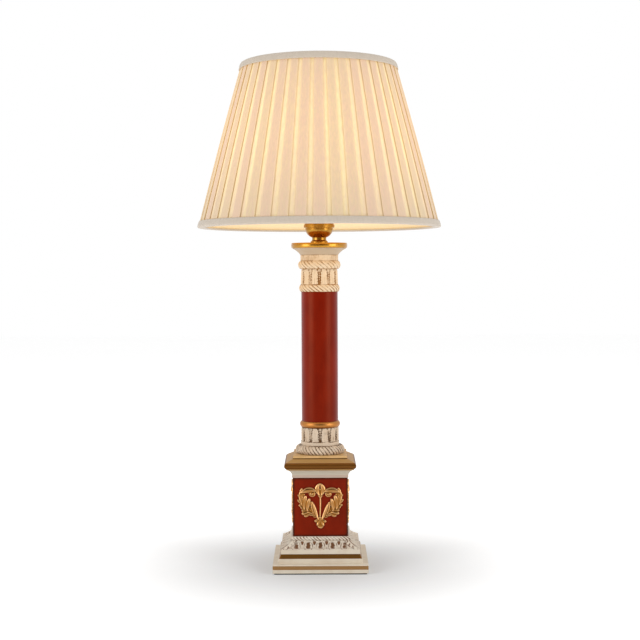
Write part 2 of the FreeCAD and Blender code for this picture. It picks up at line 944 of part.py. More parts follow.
def lampholder_insulator():
    """Base flange on the cap's ledge, body with the bar's way through, and the cup of the shell."""
    body = new_body("lampholder_insulator")
    base = s.housing_radius - s.housing_wall - s.holder_fit
    cup_inner = s.screw_shell_radius + s.holder_fit
    cup_top = cup_floor_level + s.insulator_cup_height
    turn(
        body,
        [
            Corner(ZERO, ZERO),
            Corner(base, ZERO),
            Corner(base, s.insulator_base_height),
            Corner(s.insulator_body_radius, s.insulator_base_height),
            Corner(s.insulator_body_radius, cup_floor_level),
            Corner(s.insulator_cup_radius, cup_floor_level),
            Corner(s.insulator_cup_radius, cup_top),
            Corner(cup_inner, cup_top),
            Corner(cup_inner, cup_floor_level),
            Corner(ZERO, cup_floor_level),
        ],
    )
    way = body_sketch(body, "YZ_Plane")
    draw_circle(way, s.bar_radius + s.running_gap, y=s.bar_rise)
    pocket(body, way, s.housing_radius * 2, midplane=True)
    finish(body, "lampholder_insulator", z=housing_seat)


def screw_shell():
    inner = s.screw_shell_radius - s.screw_shell_wall
    turned(
        "screw_shell",
        screw_shell_seat,
        [
            Corner(inner, ZERO),
            Corner(s.screw_shell_radius, ZERO),
            Corner(s.screw_shell_radius, s.screw_shell_height),
            Corner(inner, s.screw_shell_height),
        ],
    )


def contact_tongue():
    """A strip bent up from the cup's floor to meet the bulb's tip."""
    body = new_body("contact_tongue")
    sketch = body_sketch(body, "XZ_Plane")
    bend_foot, bend_top = s.tongue_reach / 2, s.tongue_tip_reach / 2
    draw_outline(
        sketch,
        [
            Corner(-s.tongue_reach, ZERO),
            Corner(-bend_foot, ZERO),
            Corner(-bend_top, s.tongue_rise - s.tongue_height),
            Corner(s.tongue_tip_reach, s.tongue_rise - s.tongue_height),
            Corner(s.tongue_tip_reach, s.tongue_rise),
            Corner(-bend_top - s.tongue_height, s.tongue_rise),
            Corner(-bend_foot - s.tongue_height, s.tongue_height),
            Corner(-s.tongue_reach, s.tongue_height),
        ],
    )
    pad(body, sketch, s.tongue_width, midplane=True)
    finish(body, "contact_tongue", z=screw_shell_seat)


def terminal_screws():
    """Two screw heads under the insulator, in the cap's bowl."""
    size = {"Radius": s.terminal_radius, "Height": s.terminal_height}
    half = s.terminal_spacing / 2
    pair = doc.addObject("Part::Compound", "terminal_pair")
    pair.Links = [
        primitive("Part::Cylinder", "terminal_left", x=-half, **size),
        primitive("Part::Cylinder", "terminal_right", x=half, **size),
    ]
    finish(pair, "terminal_screws", z=housing_seat - s.terminal_height)


def switch_bar():
    """The push-through bar, at rest pushed over by half its travel."""
    bar = primitive("Part::Cylinder", "bar", Radius=s.bar_radius, Height=s.bar_length)
    bar.Placement = Placement(Vector(), Rotation(Vector(0, 1, 0), 90))
    finish(bar, "switch_bar", x=s.bar_travel / 2 - s.bar_length / 2, z=bar_level)


# Bulb


def bulb():
    """A screw-cap bulb, from its tip up."""
    glass_seat = bulb_seat + s.contact_height + s.bulb_cone_height + s.bulb_cap_height
    turned(
        "bulb_contact",
        bulb_seat,
        [
            Corner(ZERO, ZERO),
            Corner(s.contact_radius / 2, ZERO),
            Corner(s.contact_radius, s.contact_height),
            Corner(ZERO, s.contact_height),
        ],
    )
    turned(
        "bulb_cap",
        bulb_seat + s.contact_height,
        [
            Corner(ZERO, ZERO),
            Corner(s.contact_radius, ZERO),
            Corner(s.bulb_cap_radius, s.bulb_cone_height),
            Corner(s.bulb_cap_radius, s.bulb_cone_height + s.bulb_cap_height),
            Corner(ZERO, s.bulb_cone_height + s.bulb_cap_height),
        ],
    )
    turned(
        "filament_stem",
        glass_seat,
        [
            Corner(ZERO, ZERO),
            Corner(s.stem_flare_radius, ZERO),
            Corner(s.stem_flare_radius, s.stem_flare_height),
            Corner(s.stem_radius, s.stem_flare_height * 2),
            Corner(s.stem_radius, s.stem_height),
            Corner(ZERO, s.stem_height),
        ],
    )
    bulb_glass(glass_seat)


def bulb_glass(seat):
    """A thin shell: a neck, a taper, and a ball that the taper meets 30 degrees below its middle."""
    neck, ball, centre = s.bulb_neck_radius, s.bulb_radius, s.bulb_centre_height
    inner_neck, inner_ball = neck - s.bulb_wall, ball - s.bulb_wall
    cosine = Dim("cos(30)", math.cos(math.radians(30)))
    turned(
        "bulb_glass",
        seat,
        [
            Corner(inner_neck, ZERO),
            Corner(neck, ZERO),
            Corner(neck, s.bulb_neck_height),
            Corner(ball * cosine, centre - ball / 2, ball),
            Corner(ZERO, centre + ball),
            Corner(ZERO, centre + inner_ball, inner_ball, True),
            Corner(inner_ball * cosine, centre - inner_ball / 2),
            Corner(inner_neck, s.bulb_neck_height),
        ],
    )


# Ring, fitter and gimbal


def shade_ring():
    inner = s.skirt_radius + s.running_gap
    turned(
        "shade_ring",
        fitter_seat + s.fitter_height + s.running_gap,
        [
            Corner(inner, ZERO),
            Corner(s.ring_radius, ZERO),
            Corner(s.ring_radius, s.ring_height - s.ring_chamfer),
            Corner(s.ring_radius - s.ring_chamfer, s.ring_height),
            Corner(inner, s.ring_height),
        ],
    )


def radial_rod(body, height, radius, start, end, count):
    """Straight round rods that stand out of a ring, evenly round it."""
    sketch = body_sketch(body, "YZ_Plane", start)
    draw_circle(sketch, radius, y=height)
    rod = pad(body, sketch, end - start)
    repeat_round(body, rod, count)


def fitter_ring():
    """The ring that sits on the lampholder's shoulder, with a pivot on each side."""
    body = new_body("fitter_ring")
    inner = s.skirt_radius + s.fitter_clearance
    turn(
        body,
        [
            Corner(inner, ZERO),
            Corner(s.fitter_radius, ZERO),
            Corner(s.fitter_radius, s.fitter_height),
            Corner(inner, s.fitter_height),
        ],
    )
    root = s.fitter_radius - s.weld_depth
    radial_rod(body, s.fitter_height / 2, s.pivot_radius, root, s.pivot_reach, 2)
    finish(body, "fitter_ring", z=fitter_seat)


def gimbal_spider():
    """The gimbal ring, bored for the pivots, and the arms that reach out to the frame."""
    body = new_body("gimbal_spider")
    half = s.gimbal_height / 2
    turn(
        body,
        [
            Corner(s.gimbal_inner_radius, -half),
            Corner(s.gimbal_outer_radius, -half),
            Corner(s.gimbal_outer_radius, half),
            Corner(s.gimbal_inner_radius, half),
        ],
    )
    root = s.gimbal_outer_radius - s.weld_depth
    lean = s.arm_radius * shade_taper
    reach = cone(s.gimbal_rise, s.wire_inset) - s.wire_radius - lean - s.holder_fit
    radial_rod(body, ZERO, s.arm_radius, root, reach, s.arm_count)
    seats = body_sketch(body, "YZ_Plane")
    draw_circle(seats, s.pivot_radius + s.pivot_clearance)
    pocket(body, seats, (s.pivot_reach + s.running_gap) * 2, midplane=True)
    finish(body, "gimbal_spider", z=pivot_level)


# Shade

shade_taper = (s.shade_bottom_radius - s.shade_top_radius) / s.shade_height


def cone(level, inset=ZERO):
    """The shade's radius at a level above its hem, less an inset."""
    return s.shade_bottom_radius - inset - shade_taper * level


def frame_struts():
    """Straight wires from hoop to hoop, inside the cover."""
    foot = s.hoop_rise + s.hoop_radius
    head = s.shade_height - foot
    for number in range(s.strut_count.value):
        label = f"frame_strut_{number + 1}"
        body = new_body(label)
        ends = []
        for level in (foot, head):
            sketch = body_sketch(body, "XY_Plane", level)
            draw_circle(sketch, s.wire_radius, x=cone(level, s.wire_inset))
            ends.append(sketch)
        wire = body.newObject("PartDesign::AdditiveLoft", f"{label}_loft")
        wire.Profile = ends[0]
        wire.Sections = ends[1:]
        wire.Ruled = True
        angle = 360 / s.strut_count.value * number
        body.Placement = Placement(Vector(), Rotation(Vector(0, 0, 1), angle))
        finish(body, label, z=shade_seat)


def wire_hoops():
    for label, level in (
        ("bottom_wire_ring", s.hoop_rise),
        ("top_wire_ring", s.shade_height - s.hoop_rise),
    ):
        radius = cone(level, s.wire_inset)
        hoop = primitive("Part::Torus", f"{label}_hoop", Radius1=radius, Radius2=s.hoop_radius)
        finish(hoop, label, z=shade_seat + level)


def around(radius, angle, level):
    return Vector(radius * math.cos(angle), radius * math.sin(angle), level)


def tapered(rings):
    """The solid between two rings of points, with flat sides."""
    return Part.makeLoft([Part.makePolygon(ring + ring[:1]) for ring in rings], True, True)


def pleated_cover():
    """Box pleats on the cone: broad folded faces with a narrow sunk gap between each two.

    Every fold runs straight from hem to hem towards the cone's tip, so every face is flat.
    """
    count = s.pleat_count.value
    pitch = 2 * math.pi / count
    half_face = pitch * PLEAT_FACE_SHARE / 2
    gap_edge = half_face + pitch * PLEAT_EDGE_SHARE
    outer_rings, inner_rings = [], []
    for level in (s.hem_margin.value, (s.shade_height - s.hem_margin).value):
        raised = (s.shade_bottom_radius - shade_taper * level).value
        sunk = raised * (1 - s.pleat_depth.value / s.shade_bottom_radius.value)
        inner = (raised - s.cover_thickness.value) / math.cos(pitch / 2)
        outer_rings.append([])
        for pleat in range(count):
            middle = pleat * pitch
            outer_rings[-1] += [
                around(sunk, middle - gap_edge, level),
                around(raised, middle - half_face, level),
                around(raised, middle + half_face, level),
                around(sunk, middle + gap_edge, level),
            ]
        inner_rings.append([around(inner, (pleat + 0.5) * pitch, level) for pleat in range(count)])
    cloth = doc.addObject("Part::Feature", "pleated_cloth")
    cloth.Shape = tapered(outer_rings).cut(tapered(inner_rings))
    finish(cloth, "pleated_cover", z=shade_seat)


def lining():
    """The lining inside the frame, with a hole for each arm."""
    body = new_body("lining")
    foot, head = s.hem_margin, s.shade_height - s.hem_margin
    inside = s.lining_inset + s.lining_thickness
    turn(
        body,
        [
            Corner(cone(foot, inside), foot),
            Corner(cone(foot, s.lining_inset), foot),
            Corner(cone(head, s.lining_inset), head),
            Corner(cone(head, inside), head),
        ],
    )
    sketch = body_sketch(body, "YZ_Plane")
    draw_circle(sketch, s.arm_radius + s.running_gap, y=s.gimbal_rise)
    hole = pocket(body, sketch, s.shade_bottom_radius, reverse=True)
    repeat_round(body, hole, s.arm_count)
    finish(body, "lining", z=shade_seat)


def trims():
    """A folded band round each hem: a channel that holds the cover and the lining."""
    outer_gap = -s.trim_clearance
    outside = outer_gap - s.trim_thickness
    inner_gap = s.lining_inset + s.lining_thickness + s.trim_clearance
    inside = inner_gap + s.trim_thickness
    height = s.shade_height
    bottom_edge, top_edge = s.trim_height, height - s.trim_height
    web, top_web = s.trim_thickness, height - s.trim_thickness
    turned(
        "bottom_trim",
        shade_seat,
        [
            Corner(cone(ZERO, inside), ZERO),
            Corner(cone(ZERO, outside), ZERO),
            Corner(cone(bottom_edge, outside), bottom_edge),
            Corner(cone(bottom_edge, outer_gap), bottom_edge),
            Corner(cone(web, outer_gap), web),
            Corner(cone(web, inner_gap), web),
            Corner(cone(bottom_edge, inner_gap), bottom_edge),
            Corner(cone(bottom_edge, inside), bottom_edge),
        ],
    )
    turned(
        "top_trim",
        shade_seat,
        [
            Corner(cone(top_edge, inside), top_edge),
            Corner(cone(top_edge, inner_gap), top_edge),
            Corner(cone(top_web, inner_gap), top_web),
            Corner(cone(top_web, outer_gap), top_web),
            Corner(cone(top_edge, outer_gap), top_edge),
            Corner(cone(top_edge, outside), top_edge),
            Corner(cone(height, outside), height),
            Corner(cone(height, inside), height),
        ],
    )


# Build, check and write every piece


def build():
    for make in (
        felt_pad,
        base_plinth,
        base_weight,
        cable_grommet,
        base_leaf_moulding,
        pedestal_die,
        ornaments,
        pedestal_cornice,
        foot_plinth,
        column_foot,
        column_collar,
        column_shaft,
        capital,
        capital_flare,
        abacus_disc,
        tie_rod,
        rod_washer,
        rod_nut,
        seating_ring,
        lampholder_cap,
        switch_housing,
        lampholder_skirt,
        lampholder_insulator,
        screw_shell,
        contact_tongue,
        terminal_screws,
        switch_bar,
        bulb,
        shade_ring,
        fitter_ring,
        gimbal_spider,
        frame_struts,
        wire_hoops,
        pleated_cover,
        lining,
        trims,
    ):
        make()
    doc.recompute()


def check():
    """Stop if any feature failed or any piece has no valid solid."""
    for item in doc.Objects:
        if "Invalid" in item.State or "Error" in item.State:
            raise RuntimeError(f"{item.Label} failed: {item.State}")
        if item.isDerivedFrom("Sketcher::SketchObject") and not item.FullyConstrained:
            raise RuntimeError(f"{item.Label} isn't fully constrained")
    for label, piece in pieces.items():
        if piece.Shape.isNull() or not piece.Shape.isValid() or not piece.Shape.Solids:
            raise RuntimeError(f"{label} has no valid solid")


def write():
    os.makedirs("parts", exist_ok=True)
    for label, piece in pieces.items():
        piece.Shape.exportStep(f"parts/{label}.step")
        print(f"{label}: {len(piece.Shape.Solids)} solid, {piece.Shape.Volume:.0f} mm3")


build()
check()
write()
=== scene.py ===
import json
import math

import bpy
import numpy as np
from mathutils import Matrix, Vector


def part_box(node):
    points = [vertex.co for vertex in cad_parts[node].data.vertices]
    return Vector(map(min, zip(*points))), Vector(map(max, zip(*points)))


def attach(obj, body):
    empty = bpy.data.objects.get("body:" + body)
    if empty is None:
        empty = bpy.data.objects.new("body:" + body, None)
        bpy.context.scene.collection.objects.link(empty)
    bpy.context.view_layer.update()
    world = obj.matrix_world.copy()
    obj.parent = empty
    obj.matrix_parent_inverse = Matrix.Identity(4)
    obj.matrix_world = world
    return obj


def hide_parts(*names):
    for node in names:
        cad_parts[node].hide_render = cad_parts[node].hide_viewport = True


# Column table lamp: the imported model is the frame, and the pieces below dress it.
# Profiles are in millimetres: distance from the axis, and height over the foot of a node.

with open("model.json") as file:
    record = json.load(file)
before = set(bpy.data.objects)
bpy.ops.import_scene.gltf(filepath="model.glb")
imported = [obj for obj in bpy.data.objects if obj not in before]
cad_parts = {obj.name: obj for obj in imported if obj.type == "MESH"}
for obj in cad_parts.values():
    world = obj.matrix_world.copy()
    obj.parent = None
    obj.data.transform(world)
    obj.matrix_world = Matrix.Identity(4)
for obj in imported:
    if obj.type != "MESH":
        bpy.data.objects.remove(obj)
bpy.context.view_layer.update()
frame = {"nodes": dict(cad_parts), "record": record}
nodes = frame["nodes"]
mm = 0.001
rng = np.random.default_rng(44)


def foot(node):
    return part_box(node)[0][2] / mm


def head(node):
    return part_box(node)[1][2] / mm


# one output socket, on which + - * / and ** add Math nodes
class Wire:
    def __init__(self, paint, socket):
        self.paint = paint
        self.socket = socket

    def maths(self, operation, *values):
        inputs = dict(enumerate(values))
        return self.paint.add("ShaderNodeMath", {"operation": operation}, inputs)

    def __add__(self, other):
        return self.maths("ADD", self, other)

    def __sub__(self, other):
        return self.maths("SUBTRACT", self, other)

    def __rsub__(self, other):
        return self.maths("SUBTRACT", other, self)

    def __mul__(self, other):
        return self.maths("MULTIPLY", self, other)

    def __truediv__(self, other):
        return self.maths("DIVIDE", self, other)

    def __rtruediv__(self, other):
        return self.maths("DIVIDE", other, self)

    def __pow__(self, other):
        return self.maths("POWER", self, other)

    __radd__ = __add__
    __rmul__ = __mul__

    def sine(self):
        return self.maths("SINE", self)

    def size(self):
        return self.maths("ABSOLUTE", self)

    # 0 below low, 1 above high, and a smooth step between
    def over(self, low, high):
        settings = {"interpolation_type": "SMOOTHSTEP"}
        inputs = {"Value": self, "From Min": low, "From Max": high}
        return self.paint.add("ShaderNodeMapRange", settings, inputs)


# a material under construction: constants go on the shader's own sockets
class Paint:
    def __init__(self, name, **constants):
        self.material = bpy.data.materials.new(name)
        self.material.use_nodes = True
        self.tree = self.material.node_tree
        self.shader = self.tree.nodes["Principled BSDF"]
        for socket, value in constants.items():
            self.shader.inputs[socket.replace("_", " ")].default_value = value
        place = self.tree.nodes.new("ShaderNodeTexCoord")
        self.place = Wire(self, place.outputs["Object"])

    def add(self, kind, settings, inputs, output=0):
        node = self.tree.nodes.new(kind)
        for key, value in settings.items():
            setattr(node, key, value)
        for key, value in inputs.items():
            self.join(value, node.inputs[key])
        return Wire(self, node.outputs[output])

    def join(self, value, socket):
        if isinstance(value, Wire):
            self.tree.links.new(value.socket, socket)
        elif isinstance(value, tuple) and socket.type == "RGBA":
            socket.default_value = (*value, 1.0)
        else:
            socket.default_value = value

    def set(self, **inputs):
        for socket, value in inputs.items():
            self.join(value, self.shader.inputs[socket.replace("_", " ")])

    def axes(self):
        return [self.add("ShaderNodeSeparateXYZ", {}, {0: self.place}, i) for i in range(3)]

    def mark(self, name):
        return self.add("ShaderNodeAttribute", {"attribute_name": name}, {}, "Fac")

    def blend(self, factor, low, high):
        return self.add("ShaderNodeMix", {"data_type": "RGBA"}, {0: factor, 6: low, 7: high}, 2)

    # noise whose features are about `size` millimetres across
    def noise(self, size, detail=3.0, stretch=(1.0, 1.0, 1.0)):
        scale = 1.0 / (size * mm)
        vector = self.add(
            "ShaderNodeVectorMath", {"operation": "MULTIPLY"},
            {0: self.place, 1: tuple(scale * s for s in stretch)},
        )
        inputs = {"Vector": vector, "Scale": 1.0, "Detail": detail, "Roughness": 0.55}
        return self.add("ShaderNodeTexNoise", {}, inputs)

    # bump of `depth` millimetres for a height from 0 to 1
    def bump(self, height, depth, strength=0.5):
        inputs = {"Height": height, "Distance": depth * mm, "Strength": strength}
        return self.add("ShaderNodeBump", {}, inputs)


# cubic ease: 0 below low, 1 above high
def smooth(values, low, high):
    t = np.clip((values - low) / (high - low), 0.0, 1.0)
    return t * t * (3.0 - 2.0 * t)


def between(values, low, high):
    return np.clip((values - low) / (high - low), 0.0, 1.0)


def bell(values, width):
    return np.exp(-((values / width) ** 2))


# points of a circular arc from start to end: bulge is its radius, negative where it is hollow,
# and the centre lies on the chord's middle line at radius minus rise
def arcPoints(start, end, bulge, steps=13):
    start, end = np.array(start, float), np.array(end, float)
    chord = end - start
    length = np.hypot(*chord)
    outward = np.array([chord[1], -chord[0]]) / length
    radius = max(abs(bulge), length / 2.0)
    rise = radius - math.sqrt(max(radius * radius - length * length / 4.0, 0.0))
    centre = (start + end) / 2.0 - math.copysign(1.0, bulge) * outward * (radius - rise)
    ends = np.unwrap([math.atan2(*(start - centre)[::-1]), math.atan2(*(end - centre)[::-1])])
    sweep = np.linspace(ends[0], ends[1], steps)
    return centre + radius * np.stack([np.cos(sweep), np.sin(sweep)], axis=1)


# sharp corners of a profile: the greatest share of a side that a curve takes, the least turn
# and reach worth a curve, and how far out the points that keep the sides flat stand
rounding = {"share": 0.42, "leastTurn": 0.002, "leastReach": 0.01, "guard": 1.15}


# a profile from (radius, height[, bulge]) corners, raised by `lift`. A bulge carries the line
# to the next corner on an arc. Each sharp corner becomes a small quadratic curve that starts
# and ends `softness` away from it, and long stretches are cut to `spacing`
def profile(corners, lift=0.0, softness=0.3, spacing=0.0):
    line, sharp = [], []
    for corner, after in zip(corners, corners[1:] + corners[-1:]):
        here = np.array(corner[:2], float) + (0.0, lift)
        if len(corner) == 3:
            arc = arcPoints(here, np.array(after[:2], float) + (0.0, lift), corner[2])[:-1]
        else:
            arc = here[None]
        line.extend(arc)
        sharp.extend([True] + [False] * (len(arc) - 1))
    points = [line[0]]
    for before, here, after, corner in zip(line, line[1:], line[2:], sharp[1:]):
        back, on = before - here, after - here
        backLength, onLength = np.hypot(*back), np.hypot(*on)
        turn = 1.0 + np.dot(back, on) / (backLength * onLength)
        reach = min(softness, backLength * rounding["share"], onLength * rounding["share"])
        if not corner or turn < rounding["leastTurn"] or reach < rounding["leastReach"]:
            points.append(here)
            continue
        a, b = here + back / backLength * reach, here + on / onLength * reach
        t = np.linspace(0.0, 1.0, 5)[:, None]
        points.append(here + (a - here) * rounding["guard"])
        points.extend((1 - t) ** 2 * a + 2 * t * (1 - t) * here + t * t * b)
        points.append(here + (b - here) * rounding["guard"])
    points.append(line[-1])
    if spacing:
        dense = [points[0]]
        for a, b in zip(points, points[1:]):
            count = max(1, int(math.ceil(np.hypot(*(b - a)) / spacing)))
            dense.extend(a + (b - a) * np.arange(1, count + 1)[:, None] / count)
        points = dense
    return np.array(points)


# a solid's outline, led in from a line near the axis and back to it
def closed(outline):
    core = 3.0
    return [(core, outline[0][1]), *outline, (core, outline[-1][1])]


# unit normals of a profile, to the right of its direction
def normals(points):
    along = np.gradient(points, axis=0)
    along /= np.maximum(np.hypot(along[:, 0], along[:, 1]), 1e-9)[:, None]
    return np.stack([along[:, 1], -along[:, 0]], axis=1)


def meshFrom(name, points, quads, triangles, marks):
    corners = np.concatenate([quads.ravel(), triangles.ravel()])
    starts = np.concatenate([
        np.arange(len(quads)) * 4, len(quads) * 4 + np.arange(len(triangles)) * 3,
    ])
    mesh = bpy.data.meshes.new(name)
    mesh.vertices.add(len(points))
    mesh.vertices.foreach_set("co", points.astype(np.float32).ravel())
    mesh.loops.add(len(corners))
    mesh.loops.foreach_set("vertex_index", corners.astype(np.int32))
    mesh.polygons.add(len(starts))
    mesh.polygons.foreach_set("loop_start", starts.astype(np.int32))
    mesh.update(calc_edges=True)
    mesh.shade_smooth()
    for key, values in marks.items():
        data = mesh.attributes.new(key, "FLOAT", "POINT")
        spare = np.zeros(len(points) - values.size)
        data.data.foreach_set("value", np.concatenate([values.ravel(), spare]).astype(np.float32))
    return mesh


# a mesh from a rows by columns grid of points in metres, joined round its columns.
# ends "capped" closes both ends with a point in their middle, "looped" joins the last row
# to the first, and "open" leaves a sheet
def meshOf(name, grid, ends="capped", **marks):
    rows, columns = grid.shape[:2]
    index = np.arange(rows * columns).reshape(rows, columns)
    if ends == "looped":
        low, high = index, np.roll(index, -1, axis=0)
    else:
        low, high = index[:-1], index[1:]
    quads = np.stack([low, np.roll(low, -1, 1), np.roll(high, -1, 1), high], axis=-1)
    points = grid.reshape(-1, 3)
    triangles = np.zeros((0, 3), int)
    if ends == "capped":
        bottom, top = np.full(columns, len(points)), np.full(columns, len(points) + 1)
        points = np.concatenate([points, grid[0].mean(0)[None], grid[-1].mean(0)[None]])
        first = np.stack([bottom, np.roll(index[0], -1), index[0]], axis=1)
        last = np.stack([top, index[-1], np.roll(index[-1], -1)], axis=1)
        triangles = np.concatenate([first, last])
    return meshFrom(name, points, quads.reshape(-1, 4), triangles, marks)


def objectOf(name, data):
    made = bpy.data.objects.new(name, data)
    bpy.context.collection.objects.link(made)
    return made


def piece(name, mesh, slotName, material, node, body="stand"):
    made = objectOf(name, mesh)
    mesh.materials.append(material)
    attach(made, body)
    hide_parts(node)
    return made


# a profile turned round the axis: x = r sin a, y = -r cos a, each point moved by `push`
# along the profile's normal
def turnedGrid(line, columns, push=0.0):
    angle = np.arange(columns) / columns * 2 * math.pi
    normal = normals(line)
    shift = np.zeros((len(line), columns)) + push
    radius = line[:, :1] + normal[:, :1] * shift
    height = line[:, 1:] + normal[:, 1:] * shift
    return np.stack([radius * np.sin(angle), -radius * np.cos(angle), height], axis=-1) * mm


# points round a square: `base` is where each sits on the square of corner centres (-1 to 1),
# `look` the direction it looks in and `along` how far it is along its side
def squareRing(perEdge, corner):
    nearCorner = 0.988
    inner = np.linspace(-1, 1, perEdge)[1:-1]
    inner = np.concatenate([[-1.0, -nearCorner], inner, [nearCorner, 1.0]])
    ring = {"base": [], "look": [], "along": []}
    for side in range(4):
        a = side * math.pi / 2
        out = np.array([math.sin(a), -math.cos(a)])
        right = np.array([math.cos(a), math.sin(a)])
        turn = a + np.array([0.25, 0.5, 0.75]) * math.pi / 2
        aroundCorner = np.stack([np.sin(turn), -np.cos(turn)], axis=1)
        ring["base"] += [out + right * inner[:, None], np.tile(out + right, (3, 1))]
        ring["look"] += [np.tile(out, (len(inner), 1)), aroundCorner]
        ring["along"] += [inner, np.ones(3)]
    ring = {key: np.concatenate(parts) for key, parts in ring.items()}
    return {**ring, "corner": corner}


# a profile carried round a square with rounded corners, each point moved by `push`
def squareGrid(line, ring, push=0.0):
    normal = normals(line)
    shift = np.zeros((len(line), len(ring["base"]))) + push
    half = line[:, 0][:, None, None] - ring["corner"]
    out = ring["corner"] + normal[:, 0][:, None, None] * shift[..., None]
    flat = ring["base"][None] * half + ring["look"][None] * out
    height = line[:, 1:] + normal[:, 1:] * shift
    return np.concatenate([flat, height[..., None]], axis=-1) * mm


# strands of a twisted rope: half-round lobes with sharp grooves between, that lean as they
# cross the bead and fade out at both its edges. Gives the push (0 at a lobe's top) and the
# groove's darkness
def rope(turns, across, strands, twist, depth):
    phase = turns * strands + twist * across
    part = 2.0 * (phase - np.floor(phase)) - 1.0
    lobe = np.sqrt(np.clip(1.0 - part * part, 0.0, 1.0))
    fade = smooth(across, 0.0, 0.1) * (1.0 - smooth(across, 0.9, 1.0))
    dark = np.clip((1.0 - lobe) * 1.6, 0, 1) * (0.5 + 0.5 * fade)
    return -depth * (1.0 - lobe) * fade, dark


# base colour with brown in the hollows, patchy from place to place, upright streaks of the
# same brown and a faint drift of tone over the surface
def patina(paint, base, warm, dark, streaks):
    drift = paint.noise(14.0, 4.0).over(0.35, 0.7)
    fine = paint.noise(2.2, 4.0)
    streak = paint.noise(1.6, 3.0, (1.0, 1.0, 0.3)) - 0.5
    patch = paint.noise(10.0, 2.0).over(0.36, 0.62) * 0.75 + 0.5
    tone = paint.blend(drift * 0.45, base, warm)
    worn = paint.mark("recess") * patch + (fine - 0.5) * 0.35 + streak * streaks
    return paint.blend(worn.over(0.12, 0.85), tone, dark), fine


# lacquer over carved wood, with painted bands given as (low, high, colour, gilding), where
# low and high are heights in mm over the table. Their edges are worn and a little soft
def creamFinish(name, base, warm, dark=(0.13, 0.06, 0.02), bands=(), streaks=0.25):
    paint = Paint(name, Specular_IOR_Level=0.3)
    colour, fine = patina(paint, base, warm, dark, streaks)
    height = paint.axes()[2] * (1 / mm)
    wear = (0.86 + 0.3 * paint.noise(3.0, 5.0)).over(0.2, 1.0)
    gilded, blur = 0.0, 0.15
    for low, high, tint, gilding in bands:
        overLow, overHigh = (height.over(edge - blur, edge + blur) for edge in (low, high))
        inside = overLow * (1.0 - overHigh)
        colour = paint.blend(inside * wear, colour, tint)
        gilded = inside * gilding + gilded
    rough = 0.42 + 0.2 * fine
    if bands:
        paint.set(Metallic=gilded)
        rough = rough - gilded * 0.1
    paint.set(Base_Color=colour, Roughness=rough, Normal=paint.bump(fine, 0.12))
    return paint.material


# deep red lacquer, satin, with a soft mottle and darker edges
def redFinish(name, deep, light, edge):
    paint = Paint(name, Specular_IOR_Level=0.26, Specular_Tint=(1.0, 0.45, 0.22, 1.0))
    cloud = paint.noise(22.0, 4.0, (1.0, 1.0, 0.5)).over(0.3, 0.72)
    fine = paint.noise(1.2)
    colour = paint.blend(cloud, deep, light)
    colour = paint.blend(paint.mark("recess").over(0.1, 0.9), colour, edge)
    paint.set(Base_Color=colour, Roughness=0.26 + 0.1 * fine, Normal=paint.bump(fine, 0.04))
    return paint.material


# burnished gold leaf over brown, browner in the hollows as patina and as painted shade, with a
# painted highlight on the ridges
def giltFinish(name, base, dark, ridgeHighlight, rough, glaze=0.0):
    paint = Paint(name, Coat_Weight=glaze, Coat_Roughness=0.12)
    cloud = paint.noise(6.0, 5.0)
    fine = paint.noise(0.9)
    depth = (paint.mark("recess") + (cloud - 0.5) * 0.5).over(0.15, 1.0)
    # the ridge mark blends the leaf towards the painted highlight colour
    leaf = paint.blend(paint.mark("ridge") * (0.4 + 0.6 * cloud), base, ridgeHighlight)
    paint.set(
        Base_Color=paint.blend(depth, leaf, dark),
        Metallic=1.0 - depth * 0.45,
        Roughness=rough + 0.22 * cloud,
        Normal=paint.bump(fine, 0.08),
    )
    return paint.material


# lacquered brass with faint turning marks round the axis, 14 radians of them to a millimetre
def brassFinish(name, light, deep):
    paint = Paint(name)
    marks = (paint.axes()[2] * (14.0 / mm)).sine() * 0.5 + 0.5
    cloud = paint.noise(5.0)
    paint.set(
        Base_Color=paint.blend(cloud.over(0.3, 0.7), light, deep),
        Metallic=1.0,
        Roughness=0.18 + 0.14 * cloud,
        Normal=paint.bump(marks, 0.004),
    )
    return paint.material


